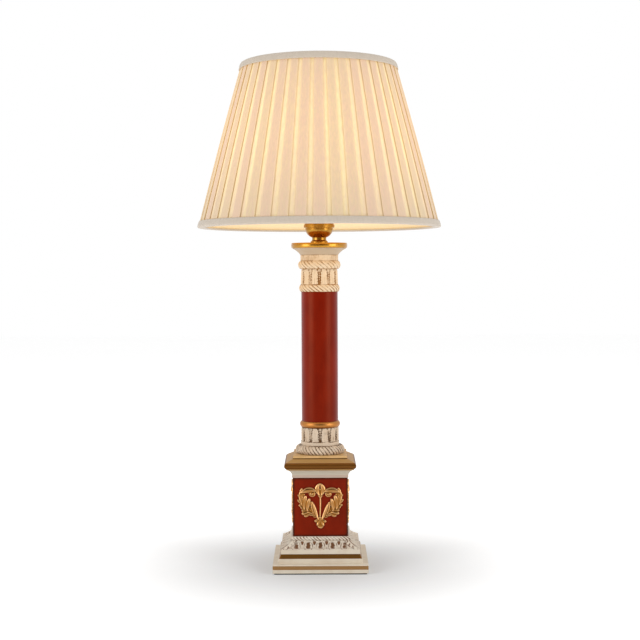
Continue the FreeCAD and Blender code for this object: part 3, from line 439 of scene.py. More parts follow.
# silky cloth seen against a lamp, whose light falls off from the lamp's height. Threads cross
# at under a millimetre, with slubs that run up the cloth. Cloth with a base colour is plain.
# Without one it is the pleated cover, where `glow` marks how much light one layer lets
# through, `crease` the folded walls, painted in a shadow colour as shade in the folds, and
# `tint` the drift from fold to fold
def clothFinish(name, light, base=None):
    paint = Paint(name, Sheen_Weight=0.2, Sheen_Roughness=0.5, Roughness=0.8, Emission_Strength=1.0)
    x, y, z = paint.axes()
    turn = paint.add("ShaderNodeMath", {"operation": "ARCTAN2"}, {0: x, 1: y})
    warp = (turn * light["warp"]).sine() * 0.5 + 0.5
    weft = (z * light["weft"]).sine() * 0.5 + 0.5
    slub = paint.noise(2.0, 4.0, (1.0, 1.0, 0.06)).over(0.3, 0.7)
    away = ((z * (1 / mm) - light["height"]) / light["reach"]).size()
    heart = 1.0 - away.over(0.0, 1.0)
    if base:
        cloth = paint.blend(slub, base, tuple(c * 0.93 for c in base))
        layers, body = 1.0, light["gap"]
    else:
        layers = paint.mark("glow")
        drift = paint.noise(2.6, 3.0, (1.0, 1.0, 0.04)) - 0.5
        tint = (paint.mark("tint") * 0.8 + 0.1 + drift * 1.8).over(0.0, 1.0)
        cloth = paint.blend(tint, light["pink"], light["straw"])
        # creases take the shadow colour: painted shade in the folds
        cloth = paint.blend(paint.mark("crease"), cloth, light["shadow"])
        body = light["face"] + layers * (light["gap"] - light["face"])
        body = body * (0.9 + 0.2 * tint) * (1.0 - 0.22 * paint.mark("crease"))
    strength = (heart * body + light["floor"]) * (0.9 + 0.2 * slub)
    colour = paint.blend(layers, light["warm"], light["bright"])
    inputs = {0: colour, "Scale": strength}
    shine = paint.add("ShaderNodeVectorMath", {"operation": "SCALE"}, inputs)
    weave = warp * 0.5 + weft * 0.5 + slub * 0.6
    paint.set(Base_Color=cloth, Emission_Color=shine, Normal=paint.bump(weave, 0.05))
    paint.material.cycles.emission_sampling = "NONE"
    return paint.material


# one colour with a little drift of tone and roughness
def plainFinish(name, base, rough, metal=0.0, grain=1.5, depth=0.05):
    paint = Paint(name, Metallic=metal)
    cloud = paint.noise(grain * 5)
    paint.set(
        Base_Color=paint.blend(cloud, tuple(c * 0.88 for c in base), base),
        Roughness=rough + 0.12 * cloud,
        Normal=paint.bump(paint.noise(grain), depth),
    )
    return paint.material


ivory, ivoryWarm = (0.68, 0.60, 0.485), (0.62, 0.50, 0.37)
dullGold, lineGold = (0.19, 0.08, 0.013), (0.37, 0.20, 0.075)
slopeGold, shadedRoundGold = (0.43, 0.245, 0.08), (0.17, 0.063, 0.008)
creamPaint = creamFinish("ivoryLacquer", ivory, ivoryWarm)
plinthPaint = creamFinish(
    "ivoryLacquerPlinth", (0.74, 0.655, 0.53), ivoryWarm,
    bands=[
        (6.0, 10.7, lineGold, 0.6),     # a line round the slab
        (17.9, 23.15, dullGold, 0.75),  # the sloping band over the step
    ],
)
# the cornice's ivory is painted darker as shade, the dark gold on its half-round is partly painted
# shade, and the lighter gold on its slope and quirk is painted light where they face up
cornicePaint = creamFinish(
    "shadedIvoryLacquerCornice", (0.52, 0.465, 0.37), (0.50, 0.42, 0.32),
    bands=[
        (114.9, 118.2, (0.49, 0.375, 0.30), 0.0),  # fillet
        (124.6, 126.4, slopeGold, 0.6),            # quirk
        (126.4, 134.2, shadedRoundGold, 0.75),           # half-round
        (134.2, 138.2, slopeGold, 0.1),            # slope
    ],
)
mouldingPaint = creamFinish(
    "ivoryLacquerLeaves", (0.76, 0.69, 0.58), (0.68, 0.54, 0.42), (0.20, 0.09, 0.04),
)
footPaint = creamFinish(
    "ivoryLacquerFoot", (0.65, 0.52, 0.39), (0.58, 0.41, 0.26), (0.11, 0.05, 0.013), streaks=1.7,
)
capitalPaint = creamFinish(
    "ivoryLacquerCapital", (0.75, 0.585, 0.40), (0.70, 0.49, 0.28), (0.32, 0.145, 0.035),
    streaks=0.7,
)
flarePaint = creamFinish("ivoryLacquerFlare", (0.49, 0.37, 0.25), (0.50, 0.37, 0.24), streaks=0.5)
redPaint = redFinish(
    "redLacquer", (0.145, 0.0040, 0.0005), (0.195, 0.0080, 0.0010), (0.045, 0.006, 0.003),
)
giltPaint = giltFinish(
    "giltRelief", (0.30, 0.108, 0.012), (0.09, 0.032, 0.002), (1.0, 0.60, 0.27), 0.2,
)
discPaint = giltFinish(
    "giltDisc", (0.50, 0.235, 0.024), (0.32, 0.14, 0.012), (0.7, 0.4, 0.1), 0.14, glaze=0.3,
)
collarPaint = giltFinish(
    "giltCollar", (0.44, 0.18, 0.045), (0.20, 0.07, 0.01), (0.6, 0.32, 0.1), 0.3,
)
brassPaint = brassFinish("brass", (0.47, 0.25, 0.045), (0.38, 0.175, 0.024))
squarePaint = creamFinish(
    "giltFoot", (0.66, 0.42, 0.18), (0.52, 0.30, 0.09),
    # the dark line at the square's foot is a painted shadow line
    bands=[(138.0, 139.1, (0.13, 0.055, 0.008), 0.4)],  # the dark line at its foot
)

# for each slot a material's name, colour and roughness, and where they matter its metal, the
# size of its grain in mm and the depth of the grain in mm
plainLooks = {
    "white_wire": ("whiteEnamel", (0.72, 0.69, 0.62), 0.35),
    "steel": ("zincedSteel", (0.45, 0.45, 0.46), 0.35, 1.0),
    "iron": ("castIron", (0.04, 0.04, 0.042), 0.7, 0.6, 2.0, 0.3),
    "felt": ("felt", (0.03, 0.035, 0.03), 0.9, 0.0, 0.5, 0.3),
    "black_rubber": ("rubber", (0.03, 0.03, 0.03), 0.6),
    "porcelain": ("porcelain", (0.78, 0.76, 0.72), 0.15),
    "bulb_metal": ("bulbCapMetal", (0.66, 0.66, 0.64), 0.3, 1.0),
    "clear_glass": ("stemGlass", (0.8, 0.8, 0.8), 0.1),
}
finishes = {slotName: plainFinish(*look) for slotName, look in plainLooks.items()}

opal = Paint(
    "frostedBulb", Base_Color=(0.9, 0.85, 0.75, 1.0), Roughness=0.5, Emission_Strength=3.5,
)
opal.set(Emission_Color=opal.blend(opal.noise(30.0), (1.0, 0.72, 0.42), (1.0, 0.78, 0.5)))

lamplight = {
    "height": 545.0,  # of the lamp over the table
    "reach": 230.0,
    "floor": 0.02,    # light that is left out of reach
    "face": 0.34,
    "gap": 0.58,
    "warp": 1400.0,   # radians of thread per radian round the shade
    "weft": 8500.0,   # and per metre of height
    "warm": (1.0, 0.50, 0.16),
    "bright": (1.0, 0.72, 0.29),
    "pink": (0.54, 0.42, 0.33),
    "straw": (0.49, 0.43, 0.30),
    "shadow": (0.46, 0.39, 0.25),
}
insideLight = {**lamplight, "gap": 0.3, "floor": 0.34, "reach": 260.0}
hemLight = {**lamplight, "gap": 0.03, "floor": 0.012}
pleatCloth = clothFinish("pleatedSilk", lamplight)
liningCloth = clothFinish("liningSilk", insideLight, (0.56, 0.46, 0.38))
bandCloth = clothFinish("bandSilk", hemLight, (0.53, 0.46, 0.385))
print("finishes are made")


def squarePiece(name, values, slotName, material, node):
    line = profile(closed(values["outline"]), foot(node), values["softness"])
    grid = squareGrid(line, squareRing(perEdge=9, corner=0.7))
    mesh = meshOf(name, grid, recess=np.full(grid.shape[:2], values.get("dark", 0.0)))
    return piece(name, mesh, slotName, material, node)


# outlines of square pieces are half widths and heights over the foot
plinth = {
    "outline": [
        (58.5, 0), (58.5, 10.8),     # slab
        (51.7, 10.8), (51.7, 16.3),  # step
        (50.7, 16.3), (48.5, 21.7),  # sloping band
        (48.9, 21.7), (48.9, 26.6),  # fillet
    ],
    "softness": 0.5,
}
squarePiece("steppedPlinth", plinth, "cream_lacquer", plinthPaint, "base_plinth")

die = {
    "half": 34.0, "low": foot("pedestal_die"), "high": head("pedestal_die"),
    "tuck": 0.2,       # how far it goes into the moulding under it
    "edgeDark": 0.8,   # the darkness of its edges, and their width as a share of the half
    "edgeWidth": 0.06,
}
dieLine = profile(
    closed([(die["half"], die["low"] - die["tuck"]), (die["half"], die["high"])]),
    softness=0.5, spacing=4.0,
)
dieRing = squareRing(perEdge=21, corner=0.8)
dieHeight = dieLine[:, 1:]
fromEnd = np.minimum(dieHeight - die["low"] - die["tuck"], die["high"] - die["tuck"] - dieHeight)
fromEdge = np.minimum(1.0 - np.abs(dieRing["along"])[None, :], fromEnd / die["half"])
dieDark = die["edgeDark"] * (1.0 - smooth(fromEdge, 0.0, die["edgeWidth"]))
dieMesh = meshOf("redDie", squareGrid(dieLine, dieRing), recess=dieDark)
piece("redDie", dieMesh, "red_lacquer", redPaint, "pedestal_die")

cornice = {
    "outline": [
        (34.8, 0), (34.8, 4.1, -11.0),     # fillet, with a cove over it
        (40.4, 10.3), (41.6, 10.3),        # quirk
        (41.6, 11.5, 4.31), (41.6, 19.5),  # half-round
        (34.6, 23.1),                      # slope
    ],
    "softness": 0.3,
}
squarePiece("corniceMoulding", cornice, "cream_lacquer", cornicePaint, "pedestal_cornice")
footSquare = {"outline": [(33.8, 0), (33.3, 3.6)], "softness": 0.4, "dark": 0.15}
squarePiece("footSquare", footSquare, "gilt", squarePaint, "foot_plinth")
print("square base is made")

leafMoulding = {
    "foot": 48.5, "top": 35.3, "lip": 0.6, "slopeHeight": 8.5, "slope": -40.0,
    "pitch": 15.2,        # from leaf to leaf along a side
    "depth": 1.7,         # of the hollows between the leaves
    "ground": 0.75,       # the leaves' rise that lies on the turned slope
    "hollow": 3.9,        # half width of a hollow at its foot, and what it loses upwards
    "hollowTaper": 1.9,
    "notch": 2.6,         # half width of the split in a leaf's head
    "arch": 5.9,          # half width of the arched line over a hollow
    "flute": 2.4,         # from a leaf's middle, and how far it leans out
    "fluteLean": 0.8,
    "cornerWidth": 6.2,   # of half the leaf on each mitre
    "ropeOut": 0.3, "ropeHeight": 5.0, "ropeBulge": 2.7,
    "ropePitch": 4.1, "ropeTwist": 1.2, "ropeDepth": 1.0,
}


# the moulding's leaves as height and darkness. `across` is mm from the nearest leaf's middle,
# `mitre` mm from the corner and `up` 0 to 1. Each leaf is a dome with two flutes and a dark
# rim at its foot; between two leaves lies a hollow that narrows upwards under an arched line,
# each leaf's head is split by a notch, and a lobed leaf lies over every mitre
def leafBand(across, mitre, up):
    size = leafMoulding
    fromMiddle = np.abs(across)
    fromHollow = size["pitch"] / 2 - fromMiddle
    waver = 0.5 * np.sin(up * 19.0 + np.sign(across) * 1.3)
    hollowWidth = size["hollow"] - size["hollowTaper"] * up + waver
    hollow = (1.0 - smooth(fromHollow, hollowWidth * 0.5, hollowWidth)) * smooth(up, 0.1, 0.22)
    hollow = hollow * (1.0 - smooth(up, 0.8, 0.9))
    notchWidth = size["notch"] * between(up, 0.35, 0.8) + 0.5
    notch = (1.0 - smooth(fromMiddle, 0.6, notchWidth)) * smooth(up, 0.42, 0.6)
    notch = notch * (1.0 - smooth(up, 0.9, 0.97))
    archWidth = size["arch"] * np.sqrt(np.clip(1.0 - (up / 0.96) ** 2, 0.0, 1.0))
    arch = bell(fromHollow - archWidth, 0.42) * smooth(up, 0.03, 0.12)
    flutes = bell(fromMiddle - size["flute"] - size["fluteLean"] * up, 0.5)
    flutes = flutes * smooth(up, 0.05, 0.2) * (1.0 - smooth(up, 0.7, 0.9))
    rim = bell(fromMiddle - 3.6, 0.9) * bell(up - 0.08, 0.08)
    rim = rim + bell(across, 0.5) * bell(up - 0.16, 0.14)
    dome = 0.75 + 0.25 * np.cos(across / size["pitch"] * 2 * math.pi)
    rise = dome - hollow - 0.8 * notch - 0.3 * flutes - 0.4 * rim - 0.4 * arch
    dark = np.clip(hollow * 1.1 + notch + 0.35 * flutes + 0.7 * rim + 0.5 * arch, 0, 1)
    width = size["cornerWidth"] * (0.75 + 0.35 * np.sin(up * math.pi))
    corner = 1.0 - smooth(mitre, width * 0.85, width)
    edge = bell(mitre - width, 0.7)
    side = np.clip(mitre / width, 0, 1)
    lobes = bell(((up * 3.4 + side * 1.1) % 1.0) - 0.5, 0.2) * smooth(side, 0.15, 0.5)
    vein = bell(side, 0.1) * 0.6 + lobes
    rise = np.where(corner > 0.5, 1.4 * np.cos(side * 1.2) - 0.6 * vein, rise) - edge * 0.5
    dark = np.where(corner > 0.5, 0.9 * vein, dark)
    return rise, np.maximum(dark, edge * 0.8)


# the moulding: leaves on its hollow slope, and a rope on the bead over it
def leafMouldingMesh():
    size = leafMoulding
    low = foot("base_leaf_moulding")
    slopeTop = size["lip"] + size["slopeHeight"]
    top = slopeTop + size["ropeHeight"]
    ropeRadius = size["top"] + size["ropeOut"]
    line = profile(
        closed([(size["foot"], 0), (size["foot"], size["lip"], size["slope"]),
                (size["top"], slopeTop), (ropeRadius, slopeTop, size["ropeBulge"]),
                (ropeRadius, top)]),
        low, softness=0.2, spacing=0.4,
    )
    ring = squareRing(perEdge=241, corner=0.5)
    height = line[:, 1:] - low
    outer = line[:, :1] > die["half"]
    along = ring["along"][None, :] * line[:, :1]
    leafUp = between(height, size["lip"], slopeTop)
    inLeaf = outer * smooth(height, size["lip"] - 0.3, size["lip"] + 0.3)
    inLeaf = inLeaf * (1 - smooth(height, slopeTop - 0.25, slopeTop))
    across = (along / size["pitch"] - np.floor(along / size["pitch"]) - 0.5) * size["pitch"]
    rise, dark = leafBand(across, line[:, :1] - np.abs(along), leafUp)
    inRope = outer * (height > slopeTop) * (height < top)
    turns = ring["along"][None, :] * ropeRadius / size["ropePitch"]
    ropeUp = between(height, slopeTop, top)
    twist, twistDark = rope(turns, ropeUp, 1.0, size["ropeTwist"], size["ropeDepth"])
    push = inLeaf * (rise - size["ground"]) * size["depth"] + inRope * twist
    joint = outer * bell(height - slopeTop, 0.3) * 0.5
    recess = np.clip(inLeaf * dark + inRope * twistDark * 1.3 + joint, 0, 1)
    return meshOf("leafMoulding", squareGrid(line, ring, push), recess=recess)


piece("leafMoulding", leafMouldingMesh(), "cream_lacquer", mouldingPaint, "base_leaf_moulding")
print("leaf moulding is carved")

drumLeaves = {
    "count": 12,
    "depth": 1.7,
    "ground": 0.72,     # the leaves' rise that lies on the turned drum
    "waves": 5.5,       # along a leaf's edge
    "width": 0.62,      # of half a leaf, as a share of half the pitch
    "waveWidth": 0.32,
    "headWidth": 0.26,  # how much narrower a leaf's head is
    # level and size of each bead of a drop flower
    "beads": [(0.88, 0.38), (0.70, 0.22), (0.57, 0.18), (0.45, 0.15), (0.34, 0.13), (0.24, 0.1)],
    "paler": 0.3,
    "core": 20.0,       # the radius that all the carving lies outside of
    "columns": 576,
}


# tall leaves round a drum as height and darkness: a dome across each with three veins, and
# edges waved by a saw-tooth. Between two leaves lies a dark channel with a drop flower that
# hangs from the top in ever smaller beads; every other channel is painted paler
def drumBand(turns, up):
    leaves = drumLeaves
    part = turns * leaves["count"]
    c = 2.0 * (part - np.floor(part)) - 1.0
    saw = np.abs((up * leaves["waves"] + 0.25 * np.sign(c)) % 1.0 - 0.35)
    width = leaves["width"] + leaves["waveWidth"] * saw
    width = width - leaves["headWidth"] * smooth(up, 0.74, 1.0)
    side = np.abs(c) / width
    body = 1.0 - smooth(side, 0.86, 1.02)
    line = bell(c, 0.06) + 0.8 * bell(np.abs(c) - 0.4, 0.07)
    rise = body * (0.8 + 0.2 * np.cos(np.clip(side, 0, 1) * math.pi / 2) - 0.25 * line)
    dark = np.clip(1.0 - body + 0.5 * line * body * (1.0 - 0.7 * up), 0.0, 1.0)
    edge = 1.0 - np.abs(c)
    for level, size in leaves["beads"]:
        bead = 1.0 - (edge / size) ** 2 - ((up - level) / (size * 0.34)) ** 2
        bead = np.sqrt(np.clip(bead, 0.0, 1.0))
        rise = np.maximum(rise, bead * 0.75)
        dark = np.where(bead > 0, np.minimum(dark, 0.8 - 0.45 * bead), dark)
    paler = leaves["paler"] * (np.floor(part + 0.5) % 2)
    return rise, dark * (1.0 - paler)


# a turned profile with a drum of leaves between two heights and rope twists on its beads,
# darkened at the beads' ends, at the joints and, where it has a neck, from there upwards
def carvedDrum(name, values, material, node):
    leaves, low = drumLeaves, foot(node)
    line = profile(closed(values["outline"]), low, softness=0.25, spacing=0.5)
    turns = np.arange(leaves["columns"])[None, :] / leaves["columns"]
    height = line[:, 1:] - low
    outer = line[:, :1] > leaves["core"]
    drumFoot, drumTop = values["drum"]
    inDrum = outer * smooth(height, drumFoot + 0.2, drumFoot + 0.8)
    inDrum = inDrum * (1 - smooth(height, drumTop - 0.8, drumTop - 0.2))
    rise, dark = drumBand(turns, between(height, drumFoot, drumTop))
    push = inDrum * (rise - leaves["ground"]) * leaves["depth"]
    recess = inDrum * dark
    for bead in values["ropes"]:
        inside = outer * (height > bead["foot"]) * (height < bead["top"])
        up = between(height, bead["foot"], bead["top"])
        ropePush, ropeDark = rope(turns, up, bead["strands"], bead["twist"], bead["depth"])
        push = push + inside * ropePush
        seam = bell(height - bead["foot"], 0.4) + bell(height - bead["top"], 0.4)
        recess = recess + inside * ropeDark * bead["brown"] * (1.2 - 0.5 * up) + outer * 0.6 * seam
    if "neck" in values:
        recess = recess + outer * 0.3 * smooth(height, values["neck"], values["neck"] + 0.4)
    for level in (drumFoot, drumTop, values["outline"][-1][1]):
        recess = recess + outer * 0.7 * bell(height - level, 0.45)
    grid = turnedGrid(line, leaves["columns"], push)
    mesh = meshOf(name, grid, recess=np.clip(recess, 0, 1))
    return piece(name, mesh, "cream_lacquer", material, node)


carvedFoot = {
    "outline": [(28.6, 0, 6.0), (25.5, 10.7), (24.0, 10.7), (24.0, 15.2), (23.3, 15.2),
                (23.3, 33.0)],
    "drum": (15.2, 33.0),
    "ropes": [
        {"foot": 0.2, "top": 10.6, "strands": 40, "twist": 1.5, "depth": 1.3, "brown": 0.85},
    ],
}
carvedCapital = {
    "outline": [(23.6, 0, 6.0), (23.6, 8.8), (23.2, 8.8), (22.4, 28.6), (24.2, 28.6, 6.2),
                (24.2, 38.4), (23.6, 38.4), (23.6, 45.9)],
    "drum": (8.8, 28.6),
    "ropes": [
        {"foot": 0.1, "top": 8.7, "strands": 27, "twist": 1.8, "depth": 1.1, "brown": 0.8},
        {"foot": 28.7, "top": 38.3, "strands": 27, "twist": 1.8, "depth": 1.1, "brown": 0.85},
    ],
    "neck": 38.4,
}
carvedDrum("carvedFoot", carvedFoot, footPaint, "column_foot")
carvedDrum("carvedCapital", carvedCapital, capitalPaint, "capital")
print("drums and ropes are carved")


def turnedPiece(name, slotName, material, node, outline, spacing=0.0, softness=0.3, **body):
    grid = turnedGrid(profile(outline, foot(node), softness, spacing), 192)
    mesh = meshOf(name, grid, recess=np.zeros(grid.shape[:2]))
    return piece(name, mesh, slotName, material, node, **body)


# turned pieces: slot, finish, node and outline as radii and heights over the foot, and for
# the shaft how close together its points are
turned = {
    "shaft": ("red_lacquer", redPaint, "column_shaft", [(22.8, 0), (22.8, 161.9)], 10.0),
    "collar": ("gilt", collarPaint, "column_collar", [(23.2, 0, 4.5), (23.2, 7.4)]),
    "flare": (
        "cream_lacquer", flarePaint, "capital_flare",
        [(23.6, 0, -22.0), (33.4, 7.9), (33.4, 8.7)],
    ),
    "giltDisc": ("gilt", discPaint, "abacus_disc", [(34.6, 0, 9.0), (34.6, 6.2)]),
    "seatingRing": ("brass", brassPaint, "seating_ring", [(10.9, 0), (10.9, 1.8), (9.4, 3.3)]),
    "lampholderCap": (
        "brass", brassPaint, "lampholder_cap",
        # neck and bowl, fillet, rim
        [(8.9, 0), (8.9, 3.6, 13.0), (17.3, 12.9), (17.3, 15.7), (19.2, 15.7), (19.2, 19.7)],
    ),
}
bulbGlass = {
    "outline": [
        (10.0, 0), (12.8, 0), (12.8, 16, -14.0),           # neck, widening upwards
        (20.0, 27.6), (26.0, 35, 30.0), (30.0, 50, 30.0),  # shoulder
        (21.2, 71.2, 30.0), (0.6, 80),                     # and over to the top
    ],
    "softness": 0.8,
}
for name, (slotName, paint, node, outline, *spacing) in turned.items():
    turnedPiece(name, slotName, paint, node, closed(outline), *spacing)
turnedPiece("bulbGlass", "opal_glass", opal.material, "bulb_glass", **bulbGlass, body="bulb")
print("turned pieces are made")

relief = {
    "halfWidth": 27.0,
    "halfHeight": 28.5,
    "field": (29.7, 30.78),  # how far out it is worked out, across and up
    "lift": 1.2,             # of the relief's middle over the die's
    "sink": 0.35,            # how far the field's ground lies behind the die's face
    "least": 0.02,           # what stands less over the ground is left out
    "swell": 1.15,           # how much fuller than the leaves' own rise
    "back": 0.9,
    "step": 0.26,
    "blur": 0.75,            # of the field in steps, and for its wide and its close hollows
    "wideBlur": 3.5,
    "closeBlur": 1.6,
}

# the right half of the relief in hundredths of its half size, each leaf over the one before:
# root, tip, half width, bow, rise and layer in mm, lobes on the edge or -1 for a plain leaf
sprayLeaves = [
    ((12, -50), (84, 6), 17, 0, 0.8, 0.2, 4),
    ((66, -18), (78, 56), 13, -4, 0.7, 0.1, 0),
    ((64, -12), (100, 6), 8, 2, 0.9, 0.1, 0),
    ((72, 2), (105, 28), 8, 2, 1.0, 0.1, 0),
    ((76, 20), (103, 50), 7, 2, 0.9, 0.1, 0),
    ((70, -14), (84, 80), 11, -11, 1.1, 0.3, 6),
    ((60, -20), (92, -4), 7, 0, 0.9, 0.3, 0),
    ((74, -16), (66, 46), 11, -3, 1.3, 0.4, -1),
    ((60, -22), (49, 33), 10, -3, 1.3, 0.5, -1),
    ((94, 22), (64, 74), 10, -8, 1.0, 0.3, -1),
    ((90, 60), (20, 66), 13, -7, 1.6, 0.6, -1),
    ((48, -31), (73, -44), 10, 0, 1.3, 0.2, -1),
    ((54, -26), (86, -33), 9, 0, 1.6, 0.4, -1),
    ((54, -19), (87, -19), 8, 0, 1.4, 0.3, -1),
    ((24, -40), (70, -22), 9, -3, 1.2, 0.5, 4),
    ((26, -42), (42, 20), 11, 0, 1.1, 0.4, 3),
    ((7, -60), (34, 12), 8, -2, 1.2, 0.7, -1),
    ((0, -54), (27, -68), 8, -2, 1.1, 0.4, -1),
    ((4, 46), (2, 99), 11, -11, 1.6, 0.4, -1),
    ((16, 76), (1, 36), 6, 1, 1.0, 0.2, -1),
    ((0, 36), (0, 78), 6, 0, 0.8, 0.4, -1),
    ((0, -46), (0, -96), 19, 0, 1.1, 0.5, -1),
    ((0, -50), (16, -84), 7, -4, 0.8, 1.0, -1),
]
volute = {"centre": (37, 54), "radius": 16, "turns": 1.2}
bud = {"centre": (0, -82), "radius": 16}
stalk = {
    "foot": -60, "head": 46, "half": 3.6, "rise": 0.8,
    "shade": 1.6, "shadeMiddle": -2.0, "shadeHalf": 12.0,  # the dark line painted on it, in mm
}
hundredth = np.array([relief["halfWidth"], relief["halfHeight"]]) / 100.0
unit = (relief["halfWidth"] + relief["halfHeight"]) / 200.0


# a leaf's height over the face: with t along the line from root to tip and v across it from
# the bowed spine, a dome (1 - (v / width)^2)^0.55 as wide as a full leaf at t, less a groove on
# the spine and faint veins that slant from it. A plain leaf has neither, and lobes wave the
# edge of the others
def leafField(x, z, root, tip, width, bow, rise, layer, lobes):
    a, b = np.array(root) * hundredth, np.array(tip) * hundredth
    chord = b - a
    length = np.hypot(*chord)
    t = ((x - a[0]) * chord[0] + (z - a[1]) * chord[1]) / length ** 2
    v = ((z - a[1]) * chord[0] - (x - a[0]) * chord[1]) / length - bow * unit * 4 * t * (1 - t)
    swell = np.clip(1.0 - (2.0 * np.clip(t, 0, 1) ** 1.15 - 1.0) ** 2, 0.0, 1.0) ** 0.45
    if lobes > 0:
        swell = swell * (0.82 + 0.18 * np.abs(np.sin(t * lobes * math.pi)))
    side = v / np.maximum(width * unit * swell, 1e-6)
    dome = np.clip(1.0 - side * side, 0.0, 1.0)
    groove = 0.0
    if lobes >= 0:
        veins = np.cos((np.abs(side) * 0.9 - t * max(4.0, length / 2.2)) * 2 * math.pi)
        groove = bell(side, 0.16) * 0.45 + 0.1 * veins * np.abs(side)
    full = rise * dome ** 0.55 * (1.0 - groove * smooth(dome, 0.1, 0.5))
    height = layer * smooth(dome, 0.0, 0.35) + full
    return np.where((dome > 0) & (t > 0) & (t < 1), height, -relief["sink"])


# a round boss: a dome with a spiral ridge that runs inwards
def bossField(x, z, centre, radius, turns=0.0):
    middle = np.array(centre) * hundredth
    dx, dz = x - middle[0], z - middle[1]
    r = np.hypot(dx, dz) / (radius * unit)
    dome = np.clip(1.0 - r * r, 0.0, 1.0)
    ridge = np.cos(np.arctan2(dz, -dx) + r * turns * 2 * math.pi) if turns else 0.0
    height = 0.3 * smooth(dome, 0.0, 0.3) + 1.2 * dome ** 0.5 + 0.3 * ridge * smooth(dome, 0.0, 0.4)
    return np.where(dome > 0, height, -relief["sink"])


# a field softened by a bell-shaped average, sigma in cells
def blurred(field, sigma):
    taps = np.arange(-int(3 * sigma), int(3 * sigma) + 1)
    weights = bell(taps, sigma * math.sqrt(2))
    weights = weights / weights.sum()
    for axis in (0, 1):
        field = sum(w * np.roll(field, k, axis) for k, w in zip(taps, weights))
    return field


# the whole relief, a little swayed: the highest of the half-round stalk and all leaves and
# bosses at each point, made fuller and softened
def reliefField(x, z, seed):
    sway = np.random.default_rng(seed).uniform(0, 2 * math.pi, 4)
    x = x + 0.22 * np.sin(z / 6.0 + sway[0]) + 0.12 * np.sin(x / 2.5 + sway[1])
    z = z + 0.22 * np.sin(x / 5.0 + sway[2]) + 0.12 * np.sin(z / 2.5 + sway[3])
    low, high = stalk["foot"] * hundredth[1], stalk["head"] * hundredth[1]
    rod = np.clip(1.0 - (x / (stalk["half"] * hundredth[0])) ** 2, 0.0, 1.0)
    inside = (z > low) & (z < high) & (rod > 0)
    field = np.where(inside, stalk["rise"] * rod ** 0.5, -relief["sink"])
    for side in (1, -1):
        for leaf in sprayLeaves:
            field = np.maximum(field, leafField(x * side, z, *leaf))
        field = np.maximum(field, bossField(x * side, z, **volute))
    field = np.maximum(field, bossField(x, z, **bud))
    return blurred(np.maximum(field, field * relief["swell"]), relief["blur"])


# the field as a closed shell: front and flat back over the cells that stand over the ground,
# with a wall wherever the next cell is left out. Hollows are marked dark, as patina and as
# painted shade, and ridges for a painted highlight, from how far the field lies under or
# over its own average
def reliefMesh(name, side):
    x, z = np.meshgrid(*(np.arange(-end, end, relief["step"]) for end in relief["field"]))
    field = reliefField(x, z, side)
    cavity = blurred(field, relief["wideBlur"]) - field
    fine = blurred(field, relief["closeBlur"]) - field
    rod = bell(x, stalk["shade"]) * (np.abs(z - stalk["shadeMiddle"]) < stalk["shadeHalf"])
    # the low field round each leaf's outline is darkened as a painted shadow on the die
    recess = 2.0 * cavity + 3.0 * fine + 0.3 * (1 - smooth(field, 0.0, 0.6)) + 0.5 * rod
    marks = {"recess": recess, "ridge": -2.4 * cavity - 4.0 * fine}
    standing = field > -relief["sink"] + relief["least"]
    keep = standing[:-1, :-1] | standing[1:, :-1] | standing[:-1, 1:] | standing[1:, 1:]
    rows, columns = x.shape
    index = np.arange(rows * columns).reshape(rows, columns)
    cell = np.stack([index[:-1, :-1], index[:-1, 1:], index[1:, 1:], index[1:, :-1]], axis=-1)
    back = rows * columns
    around = np.pad(keep, 1)
    quads = [cell[keep], cell[keep][:, ::-1] + back]
    # the cells below, right, above and left, and the two corners on that edge
    for shift, first, second in (((0, 1), 0, 1), ((1, 2), 1, 2), ((2, 1), 2, 3), ((1, 0), 3, 0)):
        beside = around[shift[0]:shift[0] + rows - 1, shift[1]:shift[1] + columns - 1]
        edge = cell[keep & ~beside]
        a, b = edge[:, first], edge[:, second]
        quads.append(np.stack([b, a, a + back, b + back], axis=1))
    quads = np.concatenate(quads)
    out = np.concatenate([field.ravel(), np.full(field.size, -relief["back"])]) + die["half"]
    x, z = np.tile(x.ravel(), 2), np.tile(z.ravel(), 2)
    z = z + (die["low"] + die["high"]) / 2 + relief["lift"]
    turn = side * math.pi / 2
    c, s = math.cos(turn), math.sin(turn)
    points = np.stack([x * c + out * s, x * s - out * c, z], axis=1) * mm
    used, quads = np.unique(quads, return_inverse=True)
    for key, values in marks.items():
        marks[key] = np.tile(np.clip(values, 0, 1).ravel(), 2)[used]
    return meshFrom(name, points[used], quads.reshape(-1, 4), np.zeros((0, 3), int), marks)


for side, word in enumerate(("front", "right", "back", "left")):
    name = f"relief{word.capitalize()}"
    piece(name, reliefMesh(name, side), "gilt", giltPaint, f"ornament_{word}")
print("reliefs are carved")

shade = {
    "foot": foot("bottom_trim"),
    "height": 204.1,
    "footRadius": 151.0,
    "slope": 0.26948,
    "pleats": 44,
    "rows": 19,
    "inset": 1.2,        # of the cloth's edges from the shade's two ends
    "faceShare": 0.645,
    "puff": 0.9,
    "thread": 0.25,
    "behind": 0.15,      # how far the cloth lies behind the cone
    "jitter": 0.014,     # spreads from pleat to pleat, as shares of the pitch
    "widen": 0.06,
    "lean": 0.02,
    "sway": 0.12,        # of a face, in mm
}


def coneRadius(height):
    return shade["footRadius"] - shade["slope"] * height


